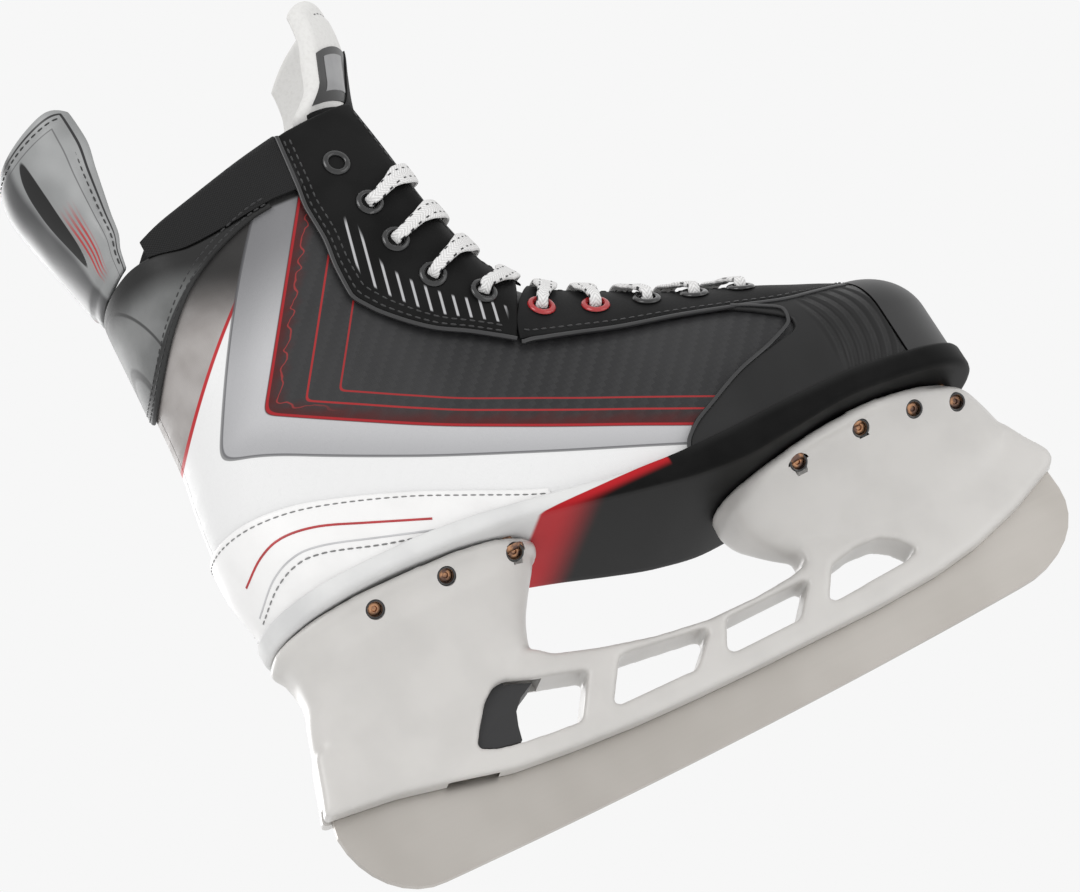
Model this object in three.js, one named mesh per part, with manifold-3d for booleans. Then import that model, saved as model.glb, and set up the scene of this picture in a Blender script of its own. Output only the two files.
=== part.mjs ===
// Ice hockey skate for the right foot, millimetres, +Z up, +X to the toe, -Y to the outer side.
// The origin is the lowest point of the steel runner, in the middle plane of the skate.
import * as THREE from 'three';
import { mergeVertices } from 'three/addons/utils/BufferGeometryUtils.js';
import Module from 'manifold-3d';

const wasm = await Module();
wasm.setup();

// ---------------------------------------------------------------- driving dimensions
const SKATE_LENGTH = 300;        // steel runner, end to end
const BOOT_WIDTH = 93;           // across the ball of the foot
const RUNNER_THICKNESS = 3;
const ROCKER_RADIUS = 3050;
const CONTACT_LENGTH = 24;       // short flat in the middle of the rocker
const RUNNER_IN_SLOT = 4.5;      // depth of steel hidden in the holder
const HOLDER_THICKNESS = 17;     // across the rail and its struts
const FLANGE_THICKNESS = 4;
const SOLE_PLATE = 4;            // outsole plate under the foot
const SOLE_RIM = 2;              // outsole wall round the boot
const FOOTBED_THICKNESS = 3.5;
const OVERLAY = 1.3;             // facings, panels and wraps sewn on the quarters
const QUARTER = 2.2;
const COLLAR_DEPTH = 12;         // from the boot's outer skin to the collar's inner face
const TOE_CAP_WALL = 2.6;
const GUARD_WALL = 4;
const TONGUE_THICKNESS = 6.5;
const LACE_ROOM = 5.9;          // between the quarter and the tongue
const EYELET_HOLE = 5.6;
const EYELET_FLANGE = 10.4;
const RIVET_HEAD = 8.6;
const RIVET_SHANK = 4.2;
const PIN_DIAMETER = 3;
const TRIGGER_THICKNESS = 11;
const GAP = 0.3;                 // between pieces that touch

const FAR_SIDE = 1;              // medial, +Y
const NEAR_SIDE = -1;            // lateral, -Y
const alongLength = SKATE_LENGTH / 300;
const acrossWidth = BOOT_WIDTH / 93;
const UP = new THREE.Vector3(0, 0, 1);

// ---------------------------------------------------------------- small helpers
const clamp = (value, low, high) => Math.min(high, Math.max(low, value));
const mix = (a, b, share) => a + (b - a) * share;
const smooth = (value, low, high) => {
  const t = clamp((value - low) / (high - low), 0, 1);
  return t * t * (3 - 2 * t);
};
const signedPower = (value, exponent) => Math.sign(value) * Math.abs(value) ** exponent;

// A smooth curve through a few points that never overshoots them.
function curveThrough(points) {
  const xs = points.map((p) => p[0]);
  const ys = points.map((p) => p[1]);
  const rise = xs.slice(1).map((x, i) => (ys[i + 1] - ys[i]) / (x - xs[i]));
  const slope = xs.map((_, i) => {
    if (i === 0) return rise[0];
    if (i === xs.length - 1) return rise[i - 1];
    if (rise[i - 1] * rise[i] <= 0) return 0;
    return 2 * rise[i - 1] * rise[i] / (rise[i - 1] + rise[i]);
  });
  return (x) => {
    const at = clamp(x, xs[0], xs[xs.length - 1]);
    let i = 0;
    while (i < xs.length - 2 && at > xs[i + 1]) i += 1;
    const h = xs[i + 1] - xs[i];
    const t = (at - xs[i]) / h;
    const a = (1 + 2 * t) * (1 - t) ** 2;
    const b = t * (1 - t) ** 2;
    const c = t * t * (3 - 2 * t);
    const d = t * t * (t - 1);
    return a * ys[i] + b * h * slope[i] + c * ys[i + 1] + d * h * slope[i + 1];
  };
}
// Keyed by the place along the foot, or giving it: lengths follow the skate's length.
const byX = (points) => curveThrough(points.map(([x, value]) => [x * alongLength, value]));
const givesX = (points) => curveThrough(points.map(([key, x]) => [key, x * alongLength]));
const stretch = (outline) => outline.map(([x, z]) => [x * alongLength, z]);

function geometryFrom(points, faces) {
  const position = new Float32Array(points.flatMap((p) => [p.x, p.y, p.z]));
  let geometry = new THREE.BufferGeometry();
  geometry.setAttribute('position', new THREE.BufferAttribute(position, 3));
  geometry.setIndex(faces.flat());
  return tidy(geometry);
}
// Joins equal corners, drops faces that have closed up, and turns the faces outwards.
function tidy(source) {
  const plain = source.index ? source : source.clone();
  plain.deleteAttribute('normal');
  plain.deleteAttribute('uv');
  const geometry = mergeVertices(plain, 1e-3);
  const index = geometry.index.array;
  const place = geometry.attributes.position;
  const corner = (i) => new THREE.Vector3().fromBufferAttribute(place, i);
  const kept = [];
  let volume = 0;
  for (let i = 0; i < index.length; i += 3) {
    const [a, b, c] = [index[i], index[i + 1], index[i + 2]];
    if (a === b || b === c || a === c) continue;
    kept.push(a, b, c);
    volume += corner(a).dot(corner(b).cross(corner(c)));
  }
  if (volume < 0) kept.reverse();
  geometry.setIndex(kept);
  return geometry;
}
function solidOf(geometry) {
  const clean = tidy(geometry);
  return new wasm.Manifold(new wasm.Mesh({
    numProp: 3,
    vertProperties: new Float32Array(clean.attributes.position.array),
    triVerts: new Uint32Array(clean.index.array),
  }));
}
function geometryOf(solid) {
  const mesh = solid.getMesh();
  const geometry = new THREE.BufferGeometry();
  geometry.setAttribute('position', new THREE.BufferAttribute(new Float32Array(mesh.vertProperties), 3));
  geometry.setIndex([...mesh.triVerts]);
  return geometry;
}
const joined = (...geometries) => geometryOf(geometries.map(solidOf).reduce((a, b) => a.add(b)));
const cut = (geometry, ...tools) => geometryOf(tools.map(solidOf).reduce((a, b) => a.subtract(b), solidOf(geometry)));

// A closed sheet between two surfaces, each given over u and v from 0 to 1.
function sheet(outer, inner, across, up) {
  const points = [];
  [outer, inner].forEach((surface) => {
    for (let j = 0; j <= up; j += 1) {
      for (let i = 0; i <= across; i += 1) points.push(surface(i / across, j / up));
    }
  });
  const row = across + 1;
  const layer = row * (up + 1);
  const faces = [];
  const quad = (a, b, c, d) => faces.push([a, b, c], [a, c, d]);
  for (let j = 0; j < up; j += 1) {
    for (let i = 0; i < across; i += 1) {
      const a = j * row + i;
      quad(a, a + 1, a + row + 1, a + row);
      quad(layer + a, layer + a + row, layer + a + row + 1, layer + a + 1);
    }
  }
  for (let i = 0; i < across; i += 1) {
    const top = up * row + i;
    quad(i, layer + i, layer + i + 1, i + 1);
    quad(top, top + 1, layer + top + 1, layer + top);
  }
  for (let j = 0; j < up; j += 1) {
    const left = j * row;
    const right = left + across;
    quad(left, left + row, layer + left + row, layer + left);
    quad(right, layer + right, layer + right + row, right + row);
  }
  return geometryFrom(points, faces);
}
// Rings of equal count, joined in order, with a flat face at each end.
function loft(rings) {
  const count = rings[0].length;
  const points = rings.flat();
  const faces = [];
  for (let j = 0; j < rings.length - 1; j += 1) {
    for (let i = 0; i < count; i += 1) {
      const a = j * count + i;
      const b = j * count + (i + 1) % count;
      faces.push([a, b, b + count], [a, b + count, a + count]);
    }
  }
  const last = (rings.length - 1) * count;
  for (let i = 1; i < count - 1; i += 1) faces.push([0, i + 1, i], [last, last + i, last + i + 1]);
  return geometryFrom(points, faces);
}
// A side outline in X and Z, extruded across the skate.
function plate(outline, thickness, middle = 0) {
  const shape = new THREE.Shape(outline.map(([x, z]) => new THREE.Vector2(x, z)));
  const geometry = new THREE.ExtrudeGeometry(shape, { depth: thickness, bevelEnabled: false });
  geometry.rotateX(Math.PI / 2);
  geometry.translate(0, middle + thickness / 2, 0);
  return geometry;
}
function turned(profile, sides, at, axis) {
  const lathe = new THREE.LatheGeometry(profile.map(([r, h]) => new THREE.Vector2(r, h)), sides);
  const turn = new THREE.Quaternion().setFromUnitVectors(new THREE.Vector3(0, 1, 0), axis);
  lathe.applyQuaternion(turn);
  lathe.translate(at.x, at.y, at.z);
  return tidy(lathe);
}
const rod = (radius, low, high, sides, at, axis) => (
  turned([[0, low], [radius, low], [radius, high], [0, high]], sides, at, axis)
);

// ---------------------------------------------------------------- the boot's outer skin
const TOE_START = 117 * alongLength;
const TOE_TIP = 146 * alongLength;
const HEEL_ROUND = -95 * alongLength;
const WALL_TOP = 108;            // the skin is upright below this height
const TOE_POWER = 2.3;
const heelLine = givesX([[76, -132], [108, -132], [128, -134.5], [140, -134], [158, -131.5], [178, -127.5],
  [205, -125], [240, -122.5], [270, -121]]);
const footHalf = byX([[-134, 31], [-95, 31], [-60, 32], [-20, 36], [20, 42], [60, 46.5], [84, 46], [104, 42.5],
  [117, 38.5], [146, 30]]);
const crown = byX([[-60, 1300], [-40, 900], [-25, 520], [-16, 400], [-10, 335], [-5.7, 268], [1.5, 217],
  [9, 196], [17, 185.5], [26, 178], [40, 169], [56, 159.7], [70, 153.5], [86, 146.7], [98, 141], [108, 136.6],
  [117, 132.5]]);
const CROWN_AT_TOE = 132.5;

// Square of the half width at a place along the foot and a height; negative outside the boot.
function widthSquared(x, z) {
  const ankle = 5.5 * smooth(z, 130, 188) * (1 - smooth(x, -70 * alongLength, -12 * alongLength));
  const body = (footHalf(x) + ankle) * acrossWidth;
  const toHeel = Math.max(0, (HEEL_ROUND - x) / (HEEL_ROUND - heelLine(z)));
  const rise = Math.max(0, z - WALL_TOP) / (crown(x) - WALL_TOP);
  return body * body * (1 - toHeel ** 2.4) * (1 - rise * rise);
}
const halfWidth = (x, z) => Math.sqrt(Math.max(0, widthSquared(x, z)));
function skin(x, z, side, lift = 0) {
  const step = 0.02;
  const y = side * halfWidth(x, z);
  const byLength = (widthSquared(x + step, z) - widthSquared(x - step, z)) / (2 * step);
  const byHeight = (widthSquared(x, z + step) - widthSquared(x, z - step)) / (2 * step);
  const normal = new THREE.Vector3(-byLength, 2 * y, -byHeight).normalize();
  return { point: new THREE.Vector3(x, y, z).addScaledVector(normal, lift), normal };
}
// The same skin, walked round the heel: s is -1 at the outer toe, 0 at the heel, 1 at the inner toe.
const MEAN_HEEL = -127 * alongLength;
function xAround(s, z) {
  const plain = MEAN_HEEL + (TOE_TIP - MEAN_HEEL) * (1 - Math.cos(Math.PI * Math.abs(s))) / 2;
  return plain + (heelLine(z) - MEAN_HEEL) * (1 - smooth(plain, MEAN_HEEL, -50 * alongLength));
}
const sAt = (x) => Math.acos(1 - 2 * (x - MEAN_HEEL) / (TOE_TIP - MEAN_HEEL)) / Math.PI;
const skinAround = (s, z, lift) => skin(xAround(s, z), z, s < 0 ? NEAR_SIDE : FAR_SIDE, lift).point;

// ---------------------------------------------------------------- lines drawn on the skin
const soleUnder = byX([[-134, 98.5], [-112, 100], [-90, 100.5], [-67, 99.5], [-47, 97.5], [-33, 94.5], [-15, 90],
  [5, 84.5], [24, 80], [42, 78], [60, 79], [85, 81], [110, 80.5], [130, 79.5], [150, 79]]);
const rimTop = byX([[-134, 107], [-80, 107], [-60, 105.5], [-40, 102], [-20, 97.5], [0, 93], [20, 90.5],
  [45, 89.5], [90, 90], [110, 89], [128, 88.5], [146, 89]]);
const bootFloor = (x) => soleUnder(x) + SOLE_PLATE + GAP;
const collarLine = byX([[-130, 241], [-122, 241.5], [-112, 245], [-100, 249], [-80, 254.5], [-60, 259.5],
  [-45, 263], [-30, 266], [-12, 268]]);
const throatHalf = byX([[-10, 27], [-5.7, 26], [1.5, 24], [12, 21], [26, 19], [56, 17], [82, 16], [92, 10.5],
  [98, 0.6]]);
const THROAT_TOP = -10 * alongLength;
const THROAT_END = 98 * alongLength;
function throatHeight(x) {
  const half = x > THROAT_END ? 0.6 : throatHalf(x) * acrossWidth;
  const body = halfWidth(x, WALL_TOP);
  return WALL_TOP + (crown(x) - WALL_TOP) * Math.sqrt(1 - (half / body) ** 2);
}
// Height of the boot's open edge: the collar at the back, then down the throat.
const openEdge = (x) => (x < THROAT_TOP ? collarLine(x) : Math.min(collarLine(x), throatHeight(x)));
const facingRear = givesX([[156, -7], [166, -20], [173, -31], [181, -40], [189, -47], [197, -51], [207, -50.5],
  [222, -48.5], [232, -48.5], [242, -47], [264, -44]]);
const throatX = givesX([[183.5, 12], [189, 6.5], [194, 1.5], [207, -1.5], [223, -5.7], [245, -8], [268, -10.5]]);
const facingLower = byX([[-8, 156], [10, 151], [30, 144], [50, 138], [70, 131.5], [90, 125.5], [117, 124]]);
const SEAM_LOW = [-7 * alongLength, 155.5];
const heelOverlayTop = byX([[-135, 142], [-125, 141], [-110, 138], [-90, 132], [-70, 124], [-50, 114],
  [-30, 103.5], [-24, 101]]);
const wrapLow = byX([[-135, 178], [-126, 196], [-112, 214], [-97, 226], [-80, 234], [-66, 238], [-58, 239]]);
const wrapHigh = byX([[-135, 241.5], [-118, 242], [-110, 241], [-95, 237.5], [-80, 238.5], [-62, 240.5], [-58, 241]]);
const panelFront = givesX([[84, 22], [92, 25], [97, 31], [101, 40], [107, 55], [111, 70], [116, 81], [121, 82.5],
  [127, 76], [133, 66]]);

// ---------------------------------------------------------------- outsole and footbed
// Plan of the skin at the foot of its wall, moved out by a clearance, as [x, half width].
function solePlan(clearance, steps = 34) {
  const plan = [];
  for (let i = 0; i <= steps; i += 1) {
    const s = i / steps;
    const heel = heelLine(WALL_TOP);
    const x = heel + (TOE_TIP - heel) * (1 - Math.cos(Math.PI * s)) / 2;
    const t = clamp((x - TOE_START) / (TOE_TIP - TOE_START), 0, 1);
    plan.push([x, halfWidth(Math.min(x, TOE_TIP), WALL_TOP - 5) * (1 - t ** TOE_POWER) ** (1 / TOE_POWER)]);
  }
  return plan.map(([x, y], i) => {
    const before = plan[Math.max(0, i - 1)];
    const after = plan[Math.min(steps, i + 1)];
    const along = new THREE.Vector2(after[0] - before[0], after[1] - before[1]).normalize();
    if (i === 0) return [x - clearance, 0];
    if (i === steps) return [x + clearance, 0];
    return [x - along.y * clearance, y + along.x * clearance];
  });
}
// A slab over that plan, between two heights that vary along the foot.
function slab(plan, low, high) {
  const section = (side, height) => plan.map(([x, y]) => new THREE.Vector3(x, side * y, height(x)));
  const strips = [section(NEAR_SIDE, low), section(FAR_SIDE, low), section(FAR_SIDE, high), section(NEAR_SIDE, high)];
  const count = plan.length;
  const faces = [];
  strips.forEach((_, k) => {
    const next = (k + 1) % strips.length;
    for (let i = 0; i < count - 1; i += 1) {
      const [a, b] = [k * count + i, next * count + i];
      faces.push([a, b, b + 1], [a, b + 1, a + 1]);
    }
  });
  return geometryFrom(strips.flat(), faces);
}
function makeOutsole() {
  const cup = slab(solePlan(GAP + SOLE_RIM), soleUnder, rimTop);
  const room = slab(solePlan(GAP), (x) => soleUnder(x) + SOLE_PLATE, (x) => rimTop(x) + 5);
  return cut(cup, room, ...rivetPlaces.map((place) => rivetHole(place)));
}
const BOOT_WALL = GAP + OVERLAY + QUARTER;
function makeFootbed() {
  const plan = solePlan(-(BOOT_WALL + 2 * GAP));
  return slab(plan, (x) => bootFloor(x) + RIVET_CLINCH, (x) => bootFloor(x) + RIVET_CLINCH + FOOTBED_THICKNESS);
}

// ---------------------------------------------------------------- holder, runner and trigger
const RIVET_CLINCH = 2.4;
const rivetPlaces = [
  ...[[-98, 19], [-70, 20], [-43, 18]],
  ...[[63, 25], [90, 25], [113, 21], [132, 12]],
].flatMap(([x, y]) => [NEAR_SIDE, FAR_SIDE].map((side) => ({
  x: x * alongLength,
  y: side * y * acrossWidth,
  zone: x < 0 ? 'rear' : 'front',
})));
const rivetHole = (place) => (
  rod(RIVET_SHANK / 2 + GAP, -20, 20, 8, new THREE.Vector3(place.x, place.y, soleUnder(place.x)), UP)
);
const flangeUnder = (x) => soleUnder(x) - GAP - FLANGE_THICKNESS;

const RUNNER_PIVOT = [125 * alongLength, 36];
const TRIGGER_PIVOT = [-73 * alongLength, 56];
const RUNNER_DROP = THREE.MathUtils.degToRad(5);
const steelLine = byX([[-150, 40], [-145, 38.5], [-120, 35], [-99, 30], [-79, 24.7], [-56, 22], [-32, 20],
  [-8, 19], [17, 18.5], [68, 18.3], [95, 19.5], [114, 22.2], [135, 27.8], [154, 35.8], [160, 38.5]]);
const steelTop = (x) => steelLine(x) + RUNNER_IN_SLOT;
const RUNNER_TAIL = -144 * alongLength;
const RUNNER_NOSE = 156 * alongLength;
const rocker = (x) => Math.max(0, x * x - (CONTACT_LENGTH / 2) ** 2) / (2 * ROCKER_RADIUS);

// Steps along X, as a list of places.
const places = (from, to, steps) => Array.from({ length: steps + 1 }, (_, i) => mix(from, to, i / steps));

const HOOK_REAR = stretch([[-101, 26], [-95, 26], [-95, 35.4], [-92.7, 40.2], [-92.7, 44], [-94, 46], [-101, 46]]);
const HOOK_FRONT = stretch([[119, 20], [131, 22], [131, 44], [129, 46], [121, 46], [119, 44]]);
function makeRunner() {
  const tailRound = 26 * alongLength;
  const noseRound = 34 * alongLength;
  const tailFoot = RUNNER_TAIL + tailRound;
  const noseFoot = RUNNER_NOSE - noseRound;
  const outline = [];
  const half = CONTACT_LENGTH / 2;
  places(tailFoot, -half, 9).concat(places(half, noseFoot, 9)).forEach((x) => outline.push([x, rocker(x)]));
  const noseRise = steelTop(RUNNER_NOSE - 2) - rocker(noseFoot);
  for (let i = 1; i <= 8; i += 1) {
    const a = i / 8 * Math.PI / 2;
    outline.push([noseFoot + noseRound * Math.sin(a), rocker(noseFoot) + 26 * (1 - Math.cos(a))]);
  }
  outline.push([RUNNER_NOSE - 0.4, rocker(noseFoot) + noseRise - 1.5]);
  outline.push([RUNNER_NOSE - 2, steelTop(RUNNER_NOSE - 2)]);
  places(RUNNER_NOSE - 6, RUNNER_TAIL + 6, 22).forEach((x) => outline.push([x, steelTop(x)]));
  outline.push([RUNNER_TAIL + 2, steelTop(RUNNER_TAIL + 2)]);
  for (let i = 8; i >= 1; i -= 1) {
    const a = i / 8 * Math.PI / 2;
    outline.push([tailFoot - tailRound * Math.sin(a), rocker(tailFoot) + 30 * (1 - Math.cos(a))]);
  }
  return joined(
    plate(outline, RUNNER_THICKNESS),
    plate(HOOK_REAR, RUNNER_THICKNESS),
    plate(HOOK_FRONT, RUNNER_THICKNESS),
  );
}

// Outline of one horizontal cut through a tower: rounded at both ends.
function towerRing(from, to, half, height, squareness = 3.2) {
  const ring = [];
  const sides = 16;
  for (let i = 0; i < sides; i += 1) {
    const a = i / sides * 2 * Math.PI;
    const x = (from + to) / 2 + (to - from) / 2 * signedPower(Math.cos(a), 2 / squareness);
    const y = half * signedPower(Math.sin(a), 2 / squareness);
    ring.push(new THREE.Vector3(x * alongLength, y, typeof height === 'function' ? height(x * alongLength) : height));
  }
  return ring;
}
const REAR_TOWER = [[40, -144.5, -52, 7.5], [50, -141.5, -51.5, 9], [60, -138, -51, 11], [70, -134.5, -47.5, 14],
  [79, -131, -41.5, 18], [86, -130.5, -36, 22.5]];
const FRONT_TOWER = [[36, 92, 157.6, 7.5], [43, 62, 158.4, 8.5], [50, 50, 153, 10.5], [57, 42.5, 149.5, 14.5],
  [65, 37, 146.3, 21], [72, 36, 142.5, 27]];
const HOLDER_OUTLINE = [[-146, 38.6], [-120, 35], [-99, 30], [-79, 24.7], [-56, 22], [-32, 20], [-8, 19],
  [17, 18.5], [68, 18.3], [95, 19.5], [114, 22.2], [135, 27.8], [155.5, 36], [158, 39], [157.6, 43], [153, 50],
  [149, 58], [60, 58], [53.5, 49], [53.5, 44], [45, 42.2], [30, 41.2], [10, 41.6], [-10, 44.7], [-30, 50],
  [-46, 55.4], [-51, 60], [-138, 60], [-141.5, 50], [-144.5, 42]];
const TRIGGER_WINDOW = [[-87.4, 36.8], [-80.5, 33.6], [-73, 32], [-60, 30.2], [-49.5, 29.2], [-38, 44.5], [-57, 50.4],
  [-67, 54.4], [-71.4, 54], [-76.4, 50.5], [-82.4, 43.4]];
const WINDOWS = [
  TRIGGER_WINDOW,
  [[-36.5, 29.4], [-35.5, 28.4], [-4, 27.4], [-2.5, 28.2], [9, 38.3], [8, 39.2], [-24, 44], [-26, 43.2]],
  [[9.3, 27.2], [10.3, 26.7], [39, 26.7], [40.2, 27.3], [50.5, 38], [49.5, 38.8], [17, 38.8], [15.6, 38.2]],
  [[52.3, 27.2], [53.3, 26.8], [86, 28.4], [91, 29.6], [92, 31.4], [88, 36.6], [82, 40.4], [72, 41], [61, 39]],
];
const MECHANISM = [[-102.2, 25], [-62, 27.5], [-62, 45], [-53.8, 49.6], [-53.8, 57], [-61, 61.5], [-66, 64.4],
  [-82, 64.4], [-92.2, 60], [-92.2, 48.5], [-102.2, 48.5]];
const FRONT_POCKET = [[117.2, 21], [132.8, 22], [132.8, 48], [117.2, 48]];
const FRONT_NOTCHES = [[[148.5, 57.5], [152, 56.2], [156, 62], [150, 63]], [[145.2, 65.6], [149, 64.6], [152, 69],
  [146, 70.5]]];

function runnerSlot() {
  const xs = places(-152, 166, 30).map((x) => x * alongLength);
  const swing = (x) => Math.max(0, x - RUNNER_PIVOT[0]) * Math.tan(RUNNER_DROP);
  const roof = xs.map((x) => [x, steelTop(x) + 0.6 + swing(x)]);
  const floor = xs.slice().reverse().map((x) => [x, steelLine(x) - 12]);
  return plate([...roof, ...floor], RUNNER_THICKNESS + 2 * GAP);
}
// Half width of each flange along the skate, as a plan for slab().
function flangePlan(from, to, half, squareness) {
  const plan = [];
  for (let i = 0; i <= 22; i += 1) {
    const a = Math.PI * (1 - i / 22);
    const x = (from + to) / 2 + (to - from) / 2 * signedPower(Math.cos(a), 2 / squareness);
    const y = half(x) * signedPower(Math.sin(a), 2 / squareness);
    plan.push([x * alongLength, Math.abs(y) < 1e-6 ? 0 : y * acrossWidth]);
  }
  return plan;
}
const rearFlangeHalf = curveThrough([[-134, 25.5], [-100, 27.5], [-60, 27], [-31, 26]]);
const frontFlangeHalf = curveThrough([[38, 30], [65, 34], [90, 34], [115, 30], [128, 25], [141, 19]]);
function makeHolder() {
  const under = (x) => soleUnder(x) - GAP;
  const ringsOf = (levels) => levels.map(([z, from, to, half]) => (
    towerRing(from, to, half * (half > HOLDER_THICKNESS / 2 ? acrossWidth : 1), z)
  ));
  const rear = ringsOf(REAR_TOWER);
  rear.push(towerRing(-132, -33, 25.5 * acrossWidth, (x) => flangeUnder(x) + 1));
  const front = ringsOf(FRONT_TOWER);
  front.push(towerRing(38, 140, 31 * acrossWidth, (x) => flangeUnder(x) + 1, 2.6));
  const body = joined(
    plate(stretch(HOLDER_OUTLINE), HOLDER_THICKNESS),
    loft(rear),
    loft(front),
    slab(flangePlan(-134, -31, rearFlangeHalf, 3), flangeUnder, under),
    slab(flangePlan(36, 141.5, frontFlangeHalf, 2.6), flangeUnder, under),
  );
  const pivot = new THREE.Vector3(TRIGGER_PIVOT[0], 0, TRIGGER_PIVOT[1]);
  const across = new THREE.Vector3(0, 1, 0);
  const recess = (place) => {
    const at = new THREE.Vector3(place.x, place.y, flangeUnder(place.x) + RECESS_FLOOR);
    return rod(RIVET_HEAD / 2 + 0.5, -30, 0, 12, at, UP);
  };
  return cut(
    body,
    ...WINDOWS.map((outline) => plate(stretch(outline), 90)),
    runnerSlot(),
    plate(stretch(MECHANISM), TRIGGER_THICKNESS + 1),
    plate(stretch(FRONT_POCKET), RUNNER_THICKNESS + 2 * GAP),
    ...FRONT_NOTCHES.map((outline) => plate(stretch(outline), 80)),
    rod(PIN_DIAMETER / 2 + 0.15, -PIN_HALF - GAP, PIN_HALF + GAP, 16, pivot, across),
    ...rivetPlaces.map(rivetHole),
    ...rivetPlaces.map(recess),
  );
}
const RECESS_FLOOR = 0.6;        // the rivet heads sit this far up in the flange
const PIN_HALF = HOLDER_THICKNESS / 2 - 0.9;

const TRIGGER_FACE = [[-86.6, 37.4], [-80, 34.2], [-73, 32.8], [-71.3, 33], [-69.9, 38], [-67.8, 43], [-64, 46.6],
  [-57.6, 49.7], [-66.9, 53.4], [-67, 58], [-69.5, 61], [-73, 62], [-76.5, 61], [-78.7, 59], [-78.7, 52.2],
  [-82, 47.8], [-90.2, 41], [-92.2, 39.6], [-94.5, 34.7], [-90, 33.8]];
function makeTrigger() {
  const pivot = new THREE.Vector3(TRIGGER_PIVOT[0], 0, TRIGGER_PIVOT[1]);
  const bore = rod(PIN_DIAMETER / 2 + 0.15, -9, 9, 16, pivot, new THREE.Vector3(0, 1, 0));
  return cut(plate(stretch(TRIGGER_FACE), TRIGGER_THICKNESS), bore);
}
function makeTriggerPin() {
  const pivot = new THREE.Vector3(TRIGGER_PIVOT[0], 0, TRIGGER_PIVOT[1]);
  return rod(PIN_DIAMETER / 2, -PIN_HALF, PIN_HALF, 14, pivot, new THREE.Vector3(0, 1, 0));
}
// Compression spring between the back of its pocket and the back of the trigger.
const SPRING = { from: -91.8, to: -79.1, height: 55.4, radius: 1.9, wire: 0.75, turns: 5 };
class Helix extends THREE.Curve {
  getPoint(t, target = new THREE.Vector3()) {
    const a = 2 * Math.PI * SPRING.turns * t;
    const edge = SPRING.wire / 2;
    const x = mix(SPRING.from * alongLength + edge, SPRING.to * alongLength - edge, t);
    return target.set(x, SPRING.radius * Math.cos(a), SPRING.height + SPRING.radius * Math.sin(a));
  }
}
function makeTriggerSpring() {
  const wire = new THREE.Shape();
  wire.absarc(0, 0, SPRING.wire / 2, 0, 2 * Math.PI);
  return new THREE.ExtrudeGeometry(wire, { extrudePath: new Helix(), steps: 40, curveSegments: 2, bevelEnabled: false });
}
function makeRivet(place) {
  const seat = flangeUnder(place.x) + RECESS_FLOOR - GAP - soleUnder(place.x);
  const slope = Math.abs(soleUnder(place.x + 1) - soleUnder(place.x - 1)) / 2;
  const top = SOLE_PLATE + GAP + 3.6 * slope;
  const profile = [[0, seat - 1.5], [2.6, seat - 1.5], [RIVET_HEAD / 2, seat - 0.4], [RIVET_HEAD / 2, seat],
    [RIVET_SHANK / 2, seat], [RIVET_SHANK / 2, top], [3.6, top], [2.8, top + 1], [0, top + 1]];
  return turned(profile, 8, new THREE.Vector3(place.x, place.y, soleUnder(place.x)), UP);
}

// ---------------------------------------------------------------- boot panels
const layer = (from, to) => [from, to];
const OVER = layer(0, -OVERLAY);
const SHELL = layer(-OVERLAY - GAP, -OVERLAY - GAP - QUARTER);
// The quarter is pared thinner under the facings, where the instep curves most.
const PARED = 1.25;
const paredBelow = (x, z) => SHELL[0] - 0.3 - PARED * smooth(z, 132, 156) * smooth(x, -50, -30);
// A panel on one side: the corners of each column and row are given in X and Z.
function sidePanel(side, xz, [outer, inner], across, up) {
  const at = (lift) => (u, v) => {
    const [x, z] = xz(u, v);
    return skin(x, z, side, typeof lift === 'function' ? lift(x, z) : lift).point;
  };
  return sheet(at(outer), at(inner), across, up);
}
// Height that shares out the arch over the foot evenly, from a low to a high line.
function shareHeight(x, low, high, v) {
  const reach = crown(x) - WALL_TOP;
  const angle = (z) => (z < WALL_TOP ? (z - WALL_TOP) / reach : Math.asin(clamp((z - WALL_TOP) / reach, -1, 1)));
  const a = mix(angle(low), angle(high), v);
  return WALL_TOP + reach * (a < 0 ? a : Math.sin(a));
}
const FRONT_END = TOE_START - GAP;
const EDGE_INSET = 1.2;          // the quarter stops short of the edges that cover it
function quarterPlace(u, v, rise = 0) {
  const start = 0.0014;
  const s = mix(start, sAt(FRONT_END), u ** 1.15);
  const plain = MEAN_HEEL + (TOE_TIP - MEAN_HEEL) * (1 - Math.cos(Math.PI * s)) / 2;
  const high = openEdge(plain) - (plain < THROAT_TOP ? COLLAR_ROLL : EDGE_INSET) + rise;
  const z = shareHeight(plain, bootFloor(plain), high, v);
  return [xAround(s, z), z];
}
const COLLAR_ROLL = 4;           // the collar folds over the quarter's top edge
function makeQuarter(side) {
  const blank = sidePanel(side, quarterPlace, [paredBelow, SHELL[1]], 26, 8);
  return cut(blank, ...eyelets(side).map(eyeletHole));
}
function heelOverlayBlank([outer, inner]) {
  const ends = sAt(-26 * alongLength);
  const surface = (lift) => (u, v) => {
    const s = mix(-ends, ends, u);
    const x = xAround(s, WALL_TOP);
    return skinAround(s, mix(bootFloor(x), heelOverlayTop(x), v), lift);
  };
  return sheet(surface(outer), surface(inner), 30, 3);
}
function makeAnkleWrap() {
  const ends = sAt(-60 * alongLength);
  const surface = (lift) => (u, v) => {
    const s = mix(-ends, ends, u);
    const x = xAround(s, 210);
    return skinAround(s, mix(wrapLow(x), wrapHigh(x), v), lift);
  };
  return sheet(surface(OVER[0]), surface(OVER[1]), 22, 3);
}
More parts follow.
